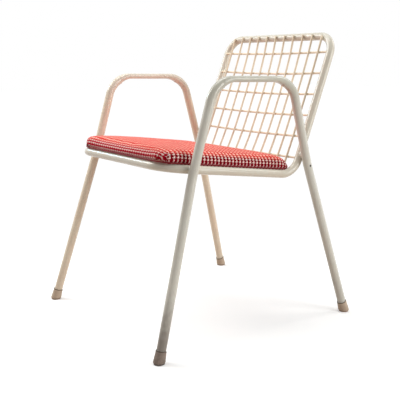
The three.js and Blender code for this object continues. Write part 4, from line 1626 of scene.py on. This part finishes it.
@dataclass(frozen=True)
class Studio:
    """The camera at the photograph's view, the pale floor, the soft lights and the white surround."""

    camera_mm: tuple[float, float, float] = (1523.06, -1079.0, 658.53)
    yaw: float = 144.36
    pitch: float = -10.97
    focal_px: float = 701.8
    frame_px: float = 400
    sensor: float = 36
    view_end: float = 100
    floor_size: float = 30
    surround: float = 0.30

    def build(self, effects: SurfaceEffects) -> None:
        """Builds everything round the chair."""
        self._camera()
        self._floor(effects)
        self._world()
        for panel in PANELS:
            panel.build()
        bpy.context.scene.view_settings.view_transform = "Standard"

    def _camera(self) -> None:
        """Sets the camera where the photograph was taken from."""
        data = bpy.data.cameras.new("photo_camera")
        set_all(data, sensor_width=self.sensor, lens=self.focal_px / self.frame_px * self.sensor,
                clip_end=self.view_end)
        camera = add_object("photo_camera", data)
        yaw, pitch = math.radians(self.yaw), math.radians(self.pitch)
        ahead = Vector((math.cos(pitch) * math.cos(yaw), math.cos(pitch) * math.sin(yaw), math.sin(pitch)))
        aim(camera, Vector(self.camera_mm) * MM, ahead)
        bpy.context.scene.camera = camera

    def _floor(self, effects: SurfaceEffects) -> None:
        """Lays the floor."""
        half = self.floor_size / 2
        mesh = bpy.data.meshes.new("floor")
        mesh.from_pydata([(-half, -half, 0), (half, -half, 0), (half, half, 0), (-half, half, 0)], [],
                         [(0, 1, 2, 3)])
        mesh.materials.append(PaleFloor().build(effects))
        floor = add_object("floor", mesh)

    def _world(self) -> None:
        """A white surround for the camera and reflections, and an even light on the chair."""
        world = bpy.data.worlds.new("white_surround")
        world.use_nodes = True
        bpy.context.scene.world = world
        net = NodeNet(world.node_tree)
        strength = net.add("ShaderNodeMapRange", {"Value": net.seen(), "To Min": self.surround,
                                                  "To Max": 1.0})
        net.feed(world.node_tree.nodes["Background"], {"Color": WHITE, "Strength": strength["Result"]})


def build_side_frames(effects: SurfaceEffects) -> None:
    """Builds both side frames with their caps and weld beads; the right side's lighter, warmer coat is
    painted light.
    """
    # Painted light: the right side's coat is lighter and warmer than the left's. Both sides' arms get painted
    # shade.
    enamels = {Hand.LEFT: Enamel("left_side_enamel", coat=(215, 215, 206), tint=(210, 206, 194),
                                 dirt=(112, 100, 92), dirt_front=0.8, dirt_reach=0.14, handled_share=0.75),
               Hand.RIGHT: Enamel("right_side_lit_enamel", coat=(234, 223, 202), tint=(228, 204, 181),
                                  handled=(216, 204, 190), handled_share=0.7)}
    steel = DullSteel().build(effects)
    # A dark material for the painted shade on the caps' lips.
    lip_shade = DullSteel("lip_shade_paint", metal=(62, 52, 44), rust=(84, 68, 56)).build(effects)
    plastic = MouldedCap().build(effects)
    dark_plastic = MouldedCap("darkened_cap_plastic", body=(138, 124, 114), tint=(112, 98, 88),
                              scuff=(164, 150, 136), sole=(70, 62, 56)).build(effects)
    for hand in Hand:
        side, coat = SideFrame(hand), enamels[hand].build(effects)
        side.build(coat, steel)
        for end in End:
            darkened = hand is Hand.LEFT and end is End.FRONT
            FootCap(side, end).build(dark_plastic if darkened else plastic, lip_shade)
            WeldBead(side, end).build(coat)


def build_grid(effects: SurfaceEffects) -> None:
    """Builds the wire grid of the seat and the back."""
    enamel = Enamel("wire_enamel", coat=(237, 224, 201), tint=(231, 210, 186), chip_cover=0.2, mottle=0.35,
                    dirt_amount=0.0, dirt_front=0.0, roughness=0.5, gloss=0.0).build(effects)
    grid = WireGrid()
    grid.build_long(enamel)
    grid.build_cross(enamel)
    grid.build_spots(enamel)


def build_cushion(effects: SurfaceEffects) -> None:
    """Builds the cushion and its welt. The cloth's edge lies a little over the pad's."""
    cushion, over = Cushion(), 2
    cloth = Houndstooth("houndstooth_cloth", cushion.plane, cushion.half_width * MM, cushion.heel * MM,
                        cushion.far_corner * MM, (cushion.edge_height + over) * MM)
    cushion.build(cloth.build(effects))
    cushion.build_welt(WeltCloth().build(effects))


def main() -> None:
    """Builds the studio and then the chair, from the loop to the cushion."""
    logging.basicConfig(level=logging.INFO, format="%(name)s: %(message)s")
    effects = SurfaceEffects.build()
    Studio().build(effects)
    SeatLoop().build(Enamel("tube_enamel").build(effects))
    build_side_frames(effects)
    build_grid(effects)
    build_cushion(effects)


if __name__ == "__main__":
    main()
